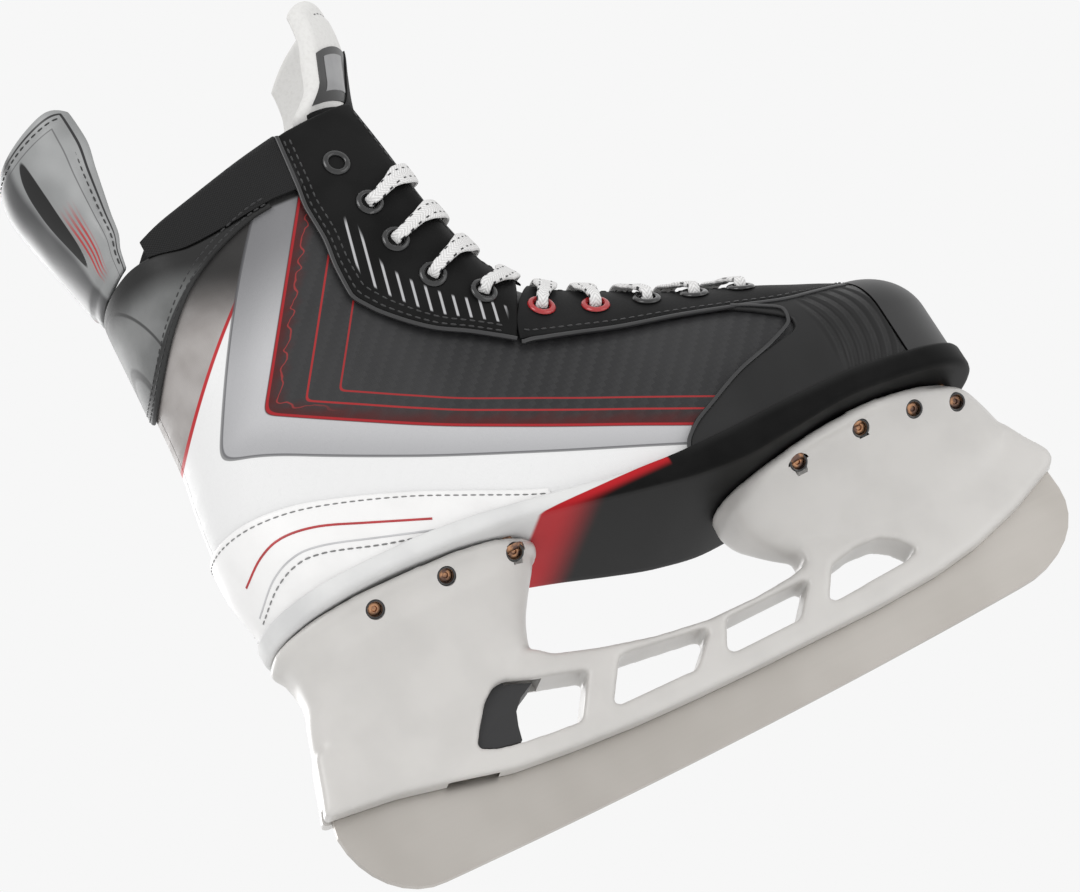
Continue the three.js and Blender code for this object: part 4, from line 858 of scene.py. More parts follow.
def seam(name, path, material, spacing=3.0):
    """A row of stitches along a path."""
    run = travelled(path)
    stops = np.arange(spacing / 2, run[-1], spacing)
    directions = sampled(stops + 0.5, run, path) - sampled(stops - 0.5, run, path)
    stitch = turned("pattern", STITCH, (0, 0, 0), UP, material, 4)
    data = bpy.data.meshes.new(name)
    data.from_pydata((sampled(stops, run, path) * MM).tolist(), [], [])
    attribute = data.attributes.new("direction", "FLOAT_VECTOR", "POINT")
    attribute.data.foreach_set("vector", np.ravel(directions))
    piece = new_object(name, data)
    modifier = piece.modifiers.new("repeat", "NODES")
    modifier.node_group, shape_key, material_key = REPEAT
    modifier[shape_key], modifier[material_key] = stitch, material
    settle(piece)
    bpy.data.objects.remove(stitch)
    return piece


def trace(places, side, lift):
    """A path on the skin through a few places given in side view."""
    fine = bend_through(np.insert(np.array(places, float), 1, 0, axis=1))
    return skin(fine[:, 0], fine[:, 2], side, lift)


def stripe(name, places, side, lift, width, material, thickness=0.3):
    """A printed or welded line on the skin."""
    path = trace(places, side, lift)
    across = np.cross(skin_normal(path[:, 0], path[:, 2], side), np.gradient(path, axis=0))
    return ribbon(name, path, across, width, thickness, material, 8)


# ------------------------------------------------------------------ boot panels
def quarter_place(u, v):
    s = mix(0.0014, s_at(FRONT_END), u ** 1.15)
    x = mean_x(s)
    high = open_edge(x) - np.where(x < THROAT_TOP, COLLAR_ROLL, EDGE_INSET)
    z = share_height(x, boot_floor(x), high, v)
    return x_around(s, z), z


def make_quarter(name, side, finish):
    """The shell, pared down under the facing and forefoot panels."""
    u, v = np.meshgrid(ticks(ROUND_FOOT, 2.0), ticks(150, 2.2))
    x, z = quarter_place(u, v)
    face = SHELL[0] - 0.3 - 1.25 * smooth(z, 132, 156) * smooth(x, -50, -30)
    return closed_sheet(name, skin(x, z, side, face), skin(x, z, side, SHELL[1]), finish)


def heel_place(u, v):
    ends = s_at(-26)
    s = mix(-ends, ends, u)
    x = x_around(s, WALL_TOP)
    return s, mix(boot_floor(x), heel_overlay_top(x), v)


def wrap_place(u, v):
    ends = s_at(-60)
    s = mix(-ends, ends, u)
    x = x_around(s, WRAP_LEVEL)
    return s, mix(wrap_low(x), wrap_high(x), v)


def forefoot_place(u, v):
    x = mix(panel_front(mix(85, 133, v)), FRONT_END, u)
    return x, share_height(x, boot_floor(x), facing_lower(x) - 0.6, v)


def facing_place(u, v):
    z_rear = mix(SEAM_LOW[1] + 0.5, 263.5, v)
    z_front = mix(183.5, 268, v)
    x = mix(facing_rear(z_rear), throat_x(z_front) - 0.3, u)
    return x, np.minimum(mix(z_rear, z_front, u), open_edge(x))


def eyestay_grid(u, v):
    """Side, x and z of the one piece that goes round the front of the throat."""
    def angle_at(x, z):
        return np.arcsin(np.clip((z - WALL_TOP) / (crown(x) - WALL_TOP), 0, 1))

    straight = 0.42
    t = np.minimum(u, 1 - u)
    share = np.minimum(1, t / straight)
    turn = np.clip((t - straight) / (0.5 - straight), 0, 1)
    x_out = mix(SEAM_LOW[0] + 1.2, FRONT_END, share)
    x_in = mix(13.4, THROAT_END - 4, share) + turn * 4
    out_angle = mix(angle_at(x_out, facing_lower(x_out)), np.pi / 2, turn)
    in_angle = mix(angle_at(x_in, throat_height(x_in)), np.pi / 2, turn)
    x = mix(x_in, x_out, v)
    z = WALL_TOP + (crown(x) - WALL_TOP) * np.sin(mix(in_angle, out_angle, v))
    return np.where(u < 0.5, OUTER, INNER), x, np.minimum(z, crown(x) - 1e-3)


def make_eyestay(finish):
    u, v = np.meshgrid(np.linspace(0, 1, 221), ticks(32, 1.6))
    side, x, z = eyestay_grid(u, v)
    rounding = 0.5 * fading(edge_distance(skin(x, z, side)), 1.2) ** 2
    return closed_sheet("eyestay_cover", skin(x, z, side, -rounding),
                        skin(x, z, side, -OVERLAY), finish)


def make_toe_cap(finish):
    u, v = np.meshgrid(np.linspace(0, 1, 111), ticks(62, 1.4))
    upright = 0.25

    def surface(wall):
        a = (u - 0.5) * np.pi
        forward = np.abs(np.cos(a)) ** (2 / TOE_POWER) * (TOE_TIP - TOE_START - wall)
        half = half_width(TOE_START + forward, WALL_TOP - 5) - wall
        sideways = signed_power(np.sin(a), 2 / TOE_POWER) * half
        lift = np.where(v < upright, 0, (v - upright) / (1 - upright) * np.pi / 2)
        foot = mix(boot_floor(TOE_START + forward), WALL_TOP, v / upright)
        arch = WALL_TOP + (CROWN_AT_TOE - WALL_TOP - wall) * np.sin(lift)
        return np.stack([TOE_START + forward * np.cos(lift), sideways * np.cos(lift),
                         np.where(v < upright, foot, arch)], -1)

    return closed_sheet("toe_cap_shell", surface(0), surface(2.6), finish)


def around(name, ends, low, high, layers, finish, rolled, puff=0.0):
    """A padded strip round the ankle between two heights; its top edge rolls inward."""
    tall = 40
    length = ROUND_FOOT * abs(ends[1] - ends[0]) / 2
    u, v = np.meshgrid(ticks(length, 2.0), ticks(tall, 1.6, 2.4))
    s = mix(*ends, u)
    x = x_around(s, COLLAR_LEVEL)
    z = mix(low(x), high(x), v)
    away = edge_distance(skin_around(s, z, 0.0))
    drop = rolled * rolled_edge((1 - v) * tall, 7)
    outer = skin_around(s, z, layers[0] - drop + puffed(away, puff))
    inner = skin_around(s, z, layers[1] + np.minimum(drop, (layers[0] - layers[1]) * 0.48))
    return closed_sheet(name, outer, inner, finish)


def make_collar(finish):
    """The pad inside the shell, and a band over it on each side in front of the ankle wrap."""
    front, back = s_at(COLLAR_FRONT), s_at(COLLAR_BACK)
    pad = around("collar_pad", (-front, front), lambda x: collar_line(x) - 34,
                 lambda x: collar_line(x) + 2.5 * smooth(x, -118, -108),
                 (SHELL[1] - GAP, -COLLAR_DEPTH), finish, rolled=3.4)
    bands = [around(f"collar_band_{k}", ends, lambda x: wrap_high(x) + 0.5,
                    lambda x: collar_line(x) + 2.5, (0.0, -COLLAR_DEPTH), finish,
                    rolled=5.0, puff=0.3)
             for k, ends in enumerate(((-front, -back), (back, front)))]
    return join([pad, *bands], "collar_padded")


# ------------------------------------------------------------------ sole
def outline_round(clearance, steps=120):
    """The foot's whole outline moved outward, once round from the heel up the inner side."""
    share = (1 - np.cos(np.pi * np.arange(steps + 1) / steps)) / 2
    heel = float(heel_line(WALL_TOP))
    x = heel + (TOE_TIP - heel) * share
    t = np.clip((x - TOE_START) / (TOE_TIP - TOE_START), 0, 1)
    y = half_width(np.minimum(x, TOE_TIP), WALL_TOP - 5)
    plan = np.stack([x, y * (1 - t ** TOE_POWER) ** (1 / TOE_POWER)], 1)
    along = np.zeros_like(plan)
    along[1:-1] = plan[2:] - plan[:-2]
    along[0], along[-1] = (0, 1), (0, -1)
    along = unit(along)
    half = plan + np.stack([-along[:, 1], along[:, 0]], 1) * clearance
    half[[0, -1], 1] = 0
    return np.concatenate([half, (half * [1, -1])[-2:0:-1]])


def across_faces(ring):
    """Fills a ring that has an inner and an outer side with strips across the foot."""
    ring = ring.tolist()
    half = len(ring) // 2
    faces = [(ring[i], ring[i + 1], ring[-i - 1], ring[-i]) for i in range(1, half - 1)]
    return [(ring[0], ring[1], ring[-1]), *faces, tuple(ring[half - 1:half + 2])]


def foot_shape(name, levels, height, finish):
    """Rings round the foot, one for each clearance, closed across at the first and the last."""
    rings = []
    for clearance, *level in levels:
        outline = outline_round(clearance)
        rings.append(np.insert(outline, 2, height(outline[:, 0], *level), axis=1))
    grid = np.array(rings)
    index, faces = ring_quads(grid)
    faces += across_faces(index[0]) + [face[::-1] for face in across_faces(index[-1])]
    return piece_from(name, grid.reshape(-1, 3), faces, finish)


def make_outsole(finish):
    """A cup with a rolled rim: rings from the middle of its underside round to its floor."""
    levels = [(-14, 0.0, "low"), (-4, 0.0, "low"), (-0.6, 0.0, "low"), (0.9, 0.25, "low"),
              (1.9, 1.1, "low"), (2.3, 2.4, "low"), (2.3, 0.5, "mid"), (2.3, -1.2, "top"),
              (1.9, -0.35, "top"), (1.3, 0.0, "top"), (0.6, -0.3, "top"), (0.3, -1.0, "top"),
              (0.3, 4.3, "low"), (0.0, 4.0, "low"), (-14, 4.0, "low")]

    def height(x, offset, line):
        return mix(sole_under(x), rim_top(x), {"low": 0, "mid": 0.5, "top": 1}[line]) + offset

    return foot_shape("outsole_cup", levels, height, finish)


def make_footbed(finish):
    inset = -(GAP + OVERLAY + QUARTER + 2 * GAP)
    levels = [(inset, 0.0), (inset, 2.6), (inset - 0.9, 3.5)]
    return foot_shape("footbed_foam", levels,
                      lambda x, rise: boot_floor(x) + FOOTBED_FLOOR + rise, finish)


# ------------------------------------------------------------------ eyelets
EYELET_PLACES = [(-30, 245), (-27, 226), (-26, 209), (-21, 191), (-8, 177.5), (9.5, 165),
                 (27.5, 157), (45.5, 151), (62.5, 145.5), (79.5, 140.5)]
ROWS = len(EYELET_PLACES)
RED_ROWS = (5, 6)


def eyelet_frame(row, side):
    """An eyelet's place, the skin's normal there and the way toward the throat."""
    x, z = EYELET_PLACES[row]
    point, normal = skin(x, z, side), skin_normal(x, z, side)
    above, below = EYELET_PLACES[max(0, row - 1)], EYELET_PLACES[min(ROWS - 1, row + 1)]
    line = unit(np.array([above[0] - below[0], 0, above[1] - below[1]], float))
    line = unit(line - normal * line.dot(normal))
    inward = unit(np.cross(normal, line) * side)
    return point, normal, -inward if inward[1] * side > 0 else inward


def make_eyelet(name, row, side, finish):
    """A round eyelet with a rolled flange and a flared clinch behind."""
    back = SHELL[1] - 1.1
    profile = [(2.8, back - 0.5), (2.8, 0.4), (2.95, 0.85), (3.3, 1.18), (3.8, 1.3), (4.4, 1.16),
               (4.9, 0.86), (5.15, 0.55), (5.2, 0.3), (3.4, 0.3), (3.4, back), (4.1, back),
               (2.8, back - 0.5)]
    point, normal, _ = eyelet_frame(row, side)
    return turned(name, profile, point, normal, finish, 36)


# ------------------------------------------------------------------ tongue and tendon guard
HALVINGS = 40


def under_crown(x_crown, y, lift):
    """In from the foot's crown line to where the skin is as wide as y, then lifted off it."""
    slope = crown(x_crown + 0.5) - crown(x_crown - 0.5)
    inward = unit(np.stack([slope, -np.ones_like(slope)], -1))
    inward *= np.where(inward[..., :1] > 0, -1, 1)

    def place(depth):
        return x_crown + inward[..., 0] * depth, crown(x_crown) + inward[..., 1] * depth

    near, far = np.zeros_like(y), np.full_like(y, 90.0)
    for _ in range(HALVINGS):
        middle = (near + far) / 2
        wide = width_squared(*place(middle)) > y * y
        far, near = np.where(wide, middle, far), np.where(wide, near, middle)
    return skin(*place(far), np.where(y < 0, OUTER, INNER), lift)


TONGUE_CROWN = [104, 94, 84, 74, 62, 50, 38, 28, 19, 12, 6.5, 3, 0.5, -1.5, -3.2, -4.4]
TONGUE_HALF, TONGUE_TOP, TONGUE_THICKNESS, TONGUE_EDGE = 30, 318, 6.5, 3.2
tongue_crown = curve_through(list(enumerate(TONGUE_CROWN)))
tongue_dip = curve_through([(-4.6, 9), (-3.2, 13), (-1, 15.4), (6, 15), (12, 13.6), (22, 12.6),
                            (84, 12.2), (94, 9.8), (104, 4.4)])
tongue_lean = curve_through([(256, -12), (262, -8.5), (270, -4), (278, -1.5), (288, 2.5),
                             (298, 6.5), (308, 7.8), (318, 7)])


def tongue_surface(u, v, below):
    place = tongue_crown(v * (len(TONGUE_CROWN) - 1))
    half = TONGUE_HALF * mix(0.72, 1, smooth(v, 0, 0.45))
    y = mix(-half, half, u)
    y = np.where(np.abs(y) < 0.01, 0.01, y)
    side = mix(SHELL[1] - GAP, SHELL[1] - 5.9, smooth(v, 0, 0.14))
    middle = np.maximum(0, 1 - (y / 19) ** 2)
    return under_crown(place, y, mix(side, -tongue_dip(place), middle) - below)


def tongue_upper_point(u, v, below):
    root = tongue_surface(u, np.ones_like(v), below)
    across = 2 * u - 1
    z = mix(root[..., 2] + 0.9, TONGUE_TOP - 9 * np.abs(across) ** 4, v)
    bow = (17 + 9 * (1 - smooth(z, 266, 280))) * across ** 2
    breadth = across * (TONGUE_HALF - below * 0.35)
    free = np.stack([tongue_lean(z) - bow - below, breadth, z], -1)
    point = mix(root, free, smooth(v, 0, 0.3)[..., None])
    point[..., 2] = z
    return point


def make_tongue(name, surface, length, finish):
    """A soft sheet with rounded edges; its outer face is pressed in along the seam."""
    u, v = np.meshgrid(ticks(TONGUE_MAP[0], 2.0, TONGUE_EDGE), ticks(length, 2.0, TONGUE_EDGE))
    away = edge_distance(surface(u, v, 0.0))
    edge = rolled_edge(away, TONGUE_EDGE) * TONGUE_THICKNESS * 0.42
    press = 0.5 * (1 - smooth(np.abs(away - 7.0), 0.0, 2.2))
    return closed_sheet(name, surface(u, v, edge + press), surface(u, v, TONGUE_THICKNESS - edge),
                        finish)


GUARD_ROOT, GUARD_THICKNESS = 242, 4
guard_spine = curve_through([(240, -122.5), (260, -126.5), (280, -131.5), (294, -133.5),
                             (304, -132), (320, -126)])
guard_front = curve_through([(240, -114.5), (250, -113.2), (256, -111), (268, -108.5),
                             (283, -105.5), (296, -103), (306, -103.5), (313, -106), (320, -111)])


def guard_point(u, v, wall):
    side = 2 * u - 1
    forward = np.abs(side) ** 1.6
    low = GUARD_ROOT + 0.5 + 0.2 * (guard_front(GUARD_ROOT) - guard_spine(GUARD_ROOT)) * forward
    top = 307 + 6.5 * np.abs(side) ** 1.5 - 6 * np.abs(side) ** 12
    z = mix(low, top, v)
    free = smooth(z, GUARD_ROOT, 266)
    edge = mix(HEEL_ROUND, guard_front(z), free)
    half = mix(half_width(HEEL_ROUND, GUARD_ROOT), 28.5, free) - wall
    spine = guard_spine(z) + wall
    x = mix(spine, guard_front(z), forward)
    to_spine = np.maximum(0, edge - x) / (edge - spine)
    y = half * np.sqrt(np.maximum(0, 1 - to_spine ** 2.4))
    return np.stack([x, np.sign(side) * y, z], -1)


def make_guard(finish):
    u, v = np.meshgrid(ticks(GUARD_MAP[0], 1.4, 2.0), ticks(GUARD_MAP[1], 1.6, 2.0))
    away = edge_distance(guard_point(u, v, 0.0))
    edge = 1.1 * rolled_edge(away, 2.4)
    border = 0.7 - 0.7 * smooth(away, 5.0, 6.2)
    return closed_sheet("tendon_guard_shell", guard_point(u, v, edge + border),
                        guard_point(u, v, GUARD_THICKNESS - edge), finish,
                        np.stack([u * GUARD_MAP[0], v * GUARD_MAP[1]], -1))


# ------------------------------------------------------------------ lace
FLAT, TIGHT, NARROW = (8.8, 1.6), (4.4, 2.1), (5.4, 1.9)
OVER_FACING = TIGHT[1] / 2 + 1.1
OVER_FLANGE = 1.3 + TIGHT[1] / 2 + 0.5
UNDER_FACING = SHELL[1] - 1.1 - 1 - TIGHT[1] / 2
THROAT_EDGE = [-8.5, -6.2, -2.2, 1.8, 12.5, 22, 35.5, 50, 65, 80.5]
EDGE_HEIGHT = [245, 226, 210, 195]
LEAN = 0.36
ANKLE_ROWS, ANKLE_BOW, FOOT_BOW = 5, 14, 6


def throat_edge(row):
    """Where the throat's edge is beside a row of eyelets, or between two rows."""
    def place(i):
        k = min(ROWS - 1, max(0, i))
        high = EDGE_HEIGHT[k] if k < len(EDGE_HEIGHT) else float(throat_height(THROAT_EDGE[k]))
        return np.array([THROAT_EDGE[k], high])

    low = math.floor(row)
    return mix(place(low), place(low + 1), row - low)


def on_skin(x, z, side, lift, size):
    """One step of a lace: its place, the skin's normal there and the lace's size."""
    return skin(x, z, side, lift), skin_normal(x, z, side), size


def facing_run(row, side, lean, levels):
    start, end = np.array(EYELET_PLACES[row]), throat_edge(row - lean)
    run = []
    for share, lift, size in levels:
        x, z = mix(start, end, share)
        run.append(on_skin(x, min(z, float(crown(x)) - CROWN_MARGIN), side, lift, size))
    return run


def through_eyelet(row, side):
    point, normal, inward = eyelet_frame(row, side)
    steps = [(2.4, UNDER_FACING), (0.9, UNDER_FACING + 0.6), (0, UNDER_FACING + 2), (0, 0.8),
             (0.9, OVER_FLANGE - 0.4), (2.6, OVER_FLANGE)]
    return [(point + inward * inside + normal * lift, normal, TIGHT) for inside, lift in steps]


def crossing(from_row, from_side, to_row, above):
    ends = []
    for row, side in ((from_row, from_side), (to_row, -from_side)):
        x, z = throat_edge(row)
        ends.append(on_skin(x, min(z, float(crown(x)) - CROWN_MARGIN), side, 0.0, FLAT))
    middle, run = -2.4 + above * 1.4, []
    bow = ANKLE_BOW if from_row < ANKLE_ROWS else FOOT_BOW
    for share in (0.14, 0.32, 0.5, 0.68, 0.86):
        normal = unit(mix(ends[0][1], ends[1][1], share))
        leave = mix(OVER_FACING, middle, float(smooth(share, 0.06, 0.36)))
        level = mix(leave, UNDER_FACING - 0.6, float(smooth(share, 0.62, 0.86)))
        level += bow * share * (1 - share)
        run.append((mix(ends[0][0], ends[1][0], share) + normal * level, normal, FLAT))
    return run


def into_boot(side):
    route = [(-14, 245, 0), (-22, 244, 0), (-30, 241.5, 0.6), (-36, 236.5, 1.2), (-39, 232, 1.6)]
    return [on_skin(x, z, side, UNDER_FACING - deeper, NARROW) for x, z, deeper in route]


def strands_from(start):
    """One end of the lace, from the lowest eyelet up to the second and into the boot."""
    steps = []
    for row in range(ROWS - 1, 0, -1):
        side = start if (ROWS - 1 - row) % 2 == 0 else -start
        lean_in = -LEAN if row > 1 else 0
        steps += through_eyelet(row, side)
        steps += facing_run(row, side, LEAN, [(0.5, OVER_FLANGE, NARROW), (0.75, OVER_FACING, FLAT),
                                              (1, OVER_FACING, FLAT)])
        steps += crossing(row - LEAN, side, row - 1 - lean_in, side)
        steps += into_boot(-side) if row == 1 else facing_run(row - 1, -side, lean_in, [
            (0.9, UNDER_FACING, FLAT), (0.6, UNDER_FACING, NARROW), (0.3, UNDER_FACING, TIGHT)])
    return steps


def flat_run(name, steps, finish):
    """A flat woven band through steps of place, normal and size."""
    places, normals, sizes = (np.array(part) for part in zip(*steps))
    wide = np.cross(normals, unit(np.gradient(places, axis=0)))
    for i in range(1, len(wide)):
        if np.linalg.norm(wide[i]) < 0.5:
            wide[i] = wide[i - 1]
        if wide[i].dot(wide[i - 1]) < 0:
            wide[i] = -wide[i]
    run = travelled(places)
    fine = bend_through(places, 0.9)
    at = travelled(fine)
    at = at / at[-1] * run[-1]
    width, thickness = sampled(at, run, sizes).T
    return ribbon(name, fine, sampled(at, run, wide), width, thickness, finish, 12)


def make_lace(finish):
    outer, inner = strands_from(OUTER), strands_from(INNER)
    bar = []
    for share in (0.2, 0.5, 0.8):
        at = mix(outer[0][0], inner[0][0], share) + np.array([0, 0, 26 * share * (1 - share)])
        bar.append((at, unit(mix(outer[0][1], inner[0][1], share)), FLAT))
    return flat_run("lace_flat", outer[::-1] + bar + inner, finish)


TAIL_ROUTE = [(-44, -25, 219), (-50, -22, 203), (-57, -20, 184), (-65, -19, 162), (-73, -19, 140),
              (-80, -19.5, 122), (-82, -20, 114.2), (-74, -20.5, 112.4), (-60, -21, 111.4),
              (-44, -22, 109.4), (-24, -22.5, 104.8), (-4, -23, 99.4), (16, -24, 94.2),
              (36, -25, 91.2), (56, -25, 91.3), (70, -23.5, 92.4), (79, -18, 93.1),
              (81, -12, 93.3), (75, -7.6, 92.8), (58, -6.4, 91.5), (36, -6.6, 91.2),
              (16, -7, 94.2), (-4, -7.4, 99.4), (-24, -7.6, 104.8), (-44, -7.8, 109.4),
              (-56, -8, 111.1)]
TAIL_WIDTH, TAIL_THICKNESS = 8.6, 1.5
TAIL_LIES_FROM, TIP_SHARE, TURN_SMOOTHING = 118, 0.36, 12


def make_tail(name, side, finish):
    """A loose lace end: down the inside of the boot, along the footbed and back, lying flat."""
    start = skin(-40.0, 229.0, side, UNDER_FACING - 2)
    path = bend_through([start] + [(x, -side * y, z) for x, y, z in TAIL_ROUTE], 2.0)
    facing = np.where(path[:, 2:] > TAIL_LIES_FROM, [[0.2, -side * 1.0, 0.0]], [[0.0, 0.0, 1.0]])
    for _ in range(TURN_SMOOTHING):
        facing[1:-1] = (facing[:-2] + 2 * facing[1:-1] + facing[2:]) / 4
    wide = np.cross(facing, np.gradient(path, axis=0))
    at, last = np.arange(len(path)), len(path) - 1
    width = np.interp(at, [0, 8], [NARROW[0], TAIL_WIDTH])
    width *= np.interp(at, [last - 6, last], [1, TIP_SHARE])
    return ribbon(name, path, wide, width, TAIL_THICKNESS, finish), path


# ------------------------------------------------------------------ blade holder
RUNNER_PIVOT_X, RUNNER_DROP = 125, 5
steel_line = curve_through([(-150, 40), (-145, 38.5), (-120, 35), (-99, 30), (-79, 24.7),
                            (-56, 22), (-32, 20), (-8, 19), (17, 18.5), (68, 18.3), (95, 19.5),
                            (114, 22.2), (135, 27.8), (154, 35.8), (160, 38.5)])
REAR_TOWER = [(40, -144.5, -52, 7.5), (50, -141.5, -51.5, 9), (60, -138, -51, 11),
              (70, -134.5, -47.5, 14), (79, -131, -41.5, 18), (86, -130.5, -36, 22.5)]
FRONT_TOWER = [(36, 92, 157.6, 7.5), (43, 62, 158.4, 8.5), (50, 50, 153, 10.5),
               (57, 42.5, 149.5, 14.5), (65, 37, 146.3, 21), (72, 36, 142.5, 27)]
HOLDER_OUTLINE = [(-146, 38.6), (-120, 35), (-99, 30), (-79, 24.7), (-56, 22), (-32, 20), (-8, 19),
                  (17, 18.5), (68, 18.3), (95, 19.5), (114, 22.2), (135, 27.8), (155.5, 36),
                  (158, 39), (157.6, 43), (153, 50), (149, 58), (60, 58), (53.5, 49), (53.5, 44),
                  (45, 42.2), (30, 41.2), (10, 41.6), (-10, 44.7), (-30, 50), (-46, 55.4),
                  (-51, 60), (-138, 60), (-141.5, 50), (-144.5, 42)]
WINDOWS = [[(-87.4, 36.8), (-80.5, 33.6), (-73, 32), (-60, 30.2), (-49.5, 29.2), (-38, 44.5),
            (-57, 50.4), (-67, 54.4), (-71.4, 54), (-76.4, 50.5), (-82.4, 43.4)],
           [(-36.5, 29.4), (-35.5, 28.4), (-4, 27.4), (-2.5, 28.2), (9, 38.3), (8, 39.2),
            (-24, 44), (-26, 43.2)],
           [(9.3, 27.2), (10.3, 26.7), (39, 26.7), (40.2, 27.3), (50.5, 38), (49.5, 38.8),
            (17, 38.8), (15.6, 38.2)],
           [(52.3, 27.2), (53.3, 26.8), (86, 28.4), (91, 29.6), (92, 31.4), (88, 36.6),
            (82, 40.4), (72, 41), (61, 39)]]
MECHANISM = [(-102.2, 25), (-62, 27.5), (-62, 45), (-53.8, 49.6), (-53.8, 57), (-61, 61.5),
             (-66, 64.4), (-82, 64.4), (-92.2, 60), (-92.2, 48.5), (-102.2, 48.5)]
FRONT_POCKET = [(117.2, 21), (132.8, 22), (132.8, 48), (117.2, 48)]
RIVET_PLACES = [("rear", 1, -98, 19), ("rear", 2, -70, 20), ("rear", 3, -43, 18),
                ("front", 1, 63, 25), ("front", 2, 90, 25), ("front", 3, 113, 21),
                ("front", 4, 132, 12)]
RAIL_THICKNESS, STEEL_SLOT, MECHANISM_SLOT, WINDOW_REACH = 17, 3.6, 12, 90
SLOT_ABOVE, SLOT_BELOW = 5.1, 12
COARSE, FINE, SOFTENING = 1.25 * MM, 1.1 * MM, 7
# Rods by radius, lower and upper end: what is cut for a rivet's head and for its shank.
HEAD_ROOM, SHANK_ROOM = (4.6, -6.2, -3.7), (2.4, -10, 3)
BORE_RADIUS, BORE_SEAT, BEYOND_TOWER = 3.5, 5.2, 45
PLAIN_FINISH = bpy.data.materials.new("unfinished")


def flange_under(x):
    return sole_under(x) - GAP - 4


def prism(outline, thickness):
    """A plate of an outline in x and z, as thick as given across the skate."""
    near = np.insert(np.array(outline, float), 1, -thickness / 2, axis=1)
    index, faces = ring_quads(np.array([near, near + [0, thickness, 0]]))
    faces = [index[0].tolist(), index[1][::-1].tolist(), *faces]
    return piece_from("plate", np.concatenate([near, near + [0, thickness, 0]]), faces,
                      PLAIN_FINISH, smooth_shade=False)


def rounded_ring(start, end, half, squareness, height, sides):
    """A ring rounded at both ends; its half breadth and its height may change along it."""
    angle = np.arange(sides) / sides * 2 * np.pi
    x = (start + end) / 2 + (end - start) / 2 * signed_power(np.cos(angle), 2 / squareness)
    half, height = (part(x) if callable(part) else part for part in (half, height))
    y = half * signed_power(np.sin(angle), 2 / squareness)
    return np.stack(np.broadcast_arrays(x, y, height), 1)


def lofted(rings):
    rings = np.array(rings)
    index, faces = ring_quads(rings)
    faces += [index[0][::-1].tolist(), index[-1].tolist()]
    return piece_from("loft", rings.reshape(-1, 3), faces, PLAIN_FINISH, smooth_shade=False)


def tower(levels, top):
    """A tower lofted through horizontal cuts that are rounded at both ends."""
    heights, *sizes = np.array(levels, float).T
    lines = [curve_through(list(zip(heights, size))) for size in sizes]
    rings = [rounded_ring(*(float(line(z)) for line in lines), 3.2, z, 72)
             for z in np.linspace(heights[0], heights[-1], 5 * len(heights))]
    return lofted(rings + [rounded_ring(*top, lambda x: flange_under(x) + 1, 72)])


def flange(start, end, half, squareness):
    return lofted([rounded_ring(start, end, half, squareness, line, 96)
                   for line in (flange_under, lambda x: sole_under(x) - GAP)])


def rod(at, direction, radius, low, high, sides):
    profile = [(0, low), (radius, low), (radius, high), (0, high)]
    return turned("rod", profile, at, direction, PLAIN_FINISH, sides, smooth_shade=False)


def under_sole(x, y, below=0.0):
    return np.array([x, y, float(sole_under(x)) - below])


def bore_direction(side):
    return unit(np.array([-0.12, side * 0.86, -0.5]))


def make_holder(finish):
    """Two towers on a pierced rail, moulded in one, with soft edges; and where its bores are."""
    rear_half = curve_through([(-134, 25.5), (-100, 27.5), (-60, 27), (-31, 26)])
    front_half = curve_through([(38, 30), (65, 34), (90, 34), (115, 30), (128, 25), (141, 19)])
    parts = [prism(HOLDER_OUTLINE, RAIL_THICKNESS), tower(REAR_TOWER, (-132, -33, 25.5, 3.2)),
             tower(FRONT_TOWER, (38, 140, 31, 2.6)), flange(-134, -31, rear_half, 3),
             flange(36, 141.5, front_half, 2.6)]
    body = join(parts, "holder_moulded")
    modified(body, "REMESH", mode="VOXEL", voxel_size=COARSE)
    cut_away(body, [prism(outline, WINDOW_REACH) for outline in WINDOWS])
    modified(body, "REMESH", mode="VOXEL", voxel_size=FINE)
    modified(body, "SMOOTH", factor=0.5, iterations=SOFTENING)
    drop = math.tan(math.radians(RUNNER_DROP))
    xs = np.linspace(-152, 166, 60)
    roof = [(x, float(steel_line(x)) + SLOT_ABOVE + max(0, x - RUNNER_PIVOT_X) * drop)
            for x in xs]
    floor = [(x, float(steel_line(x)) - SLOT_BELOW) for x in xs[::-1]]
    tools = [prism(roof + floor, STEEL_SLOT), prism(MECHANISM, MECHANISM_SLOT),
             prism(FRONT_POCKET, STEEL_SLOT)]
    bores = []
    for _, _, x, y in RIVET_PLACES:
        for side in (OUTER, INNER):
            for room in (HEAD_ROOM, SHANK_ROOM):
                tools.append(rod(under_sole(x, side * y), UP, *room, 28))
            seat, out = under_sole(x, side * y, BORE_SEAT), bore_direction(side)
            mouth = body.ray_cast(Vector((seat + out * BEYOND_TOWER) * MM), Vector(-out))[1]
            depth = float(np.linalg.norm(np.array(mouth) / MM - seat))
            bores.append((side, seat, out, depth))
            tools.append(rod(seat, out, BORE_RADIUS, -1.0, depth + 6, 32))
    cut_away(body, tools)
    soft_shading(body, 50)
    body.data.materials.clear()
    body.data.materials.append(finish)
    return body, bores


def make_sleeve(name, seat, out, depth, finish):
    """A black tube set in the hole through which a rivet is set, which darkens the hole."""
    end = max(2.0, depth - 0.5)
    profile = [(2.5, -0.8), (3.42, -0.8), (3.42, end), (3.2, end + 0.25), (2.7, end + 0.1),
               (2.5, end - 0.4), (2.5, -0.8)]
    return turned(name, profile, seat, out, finish)


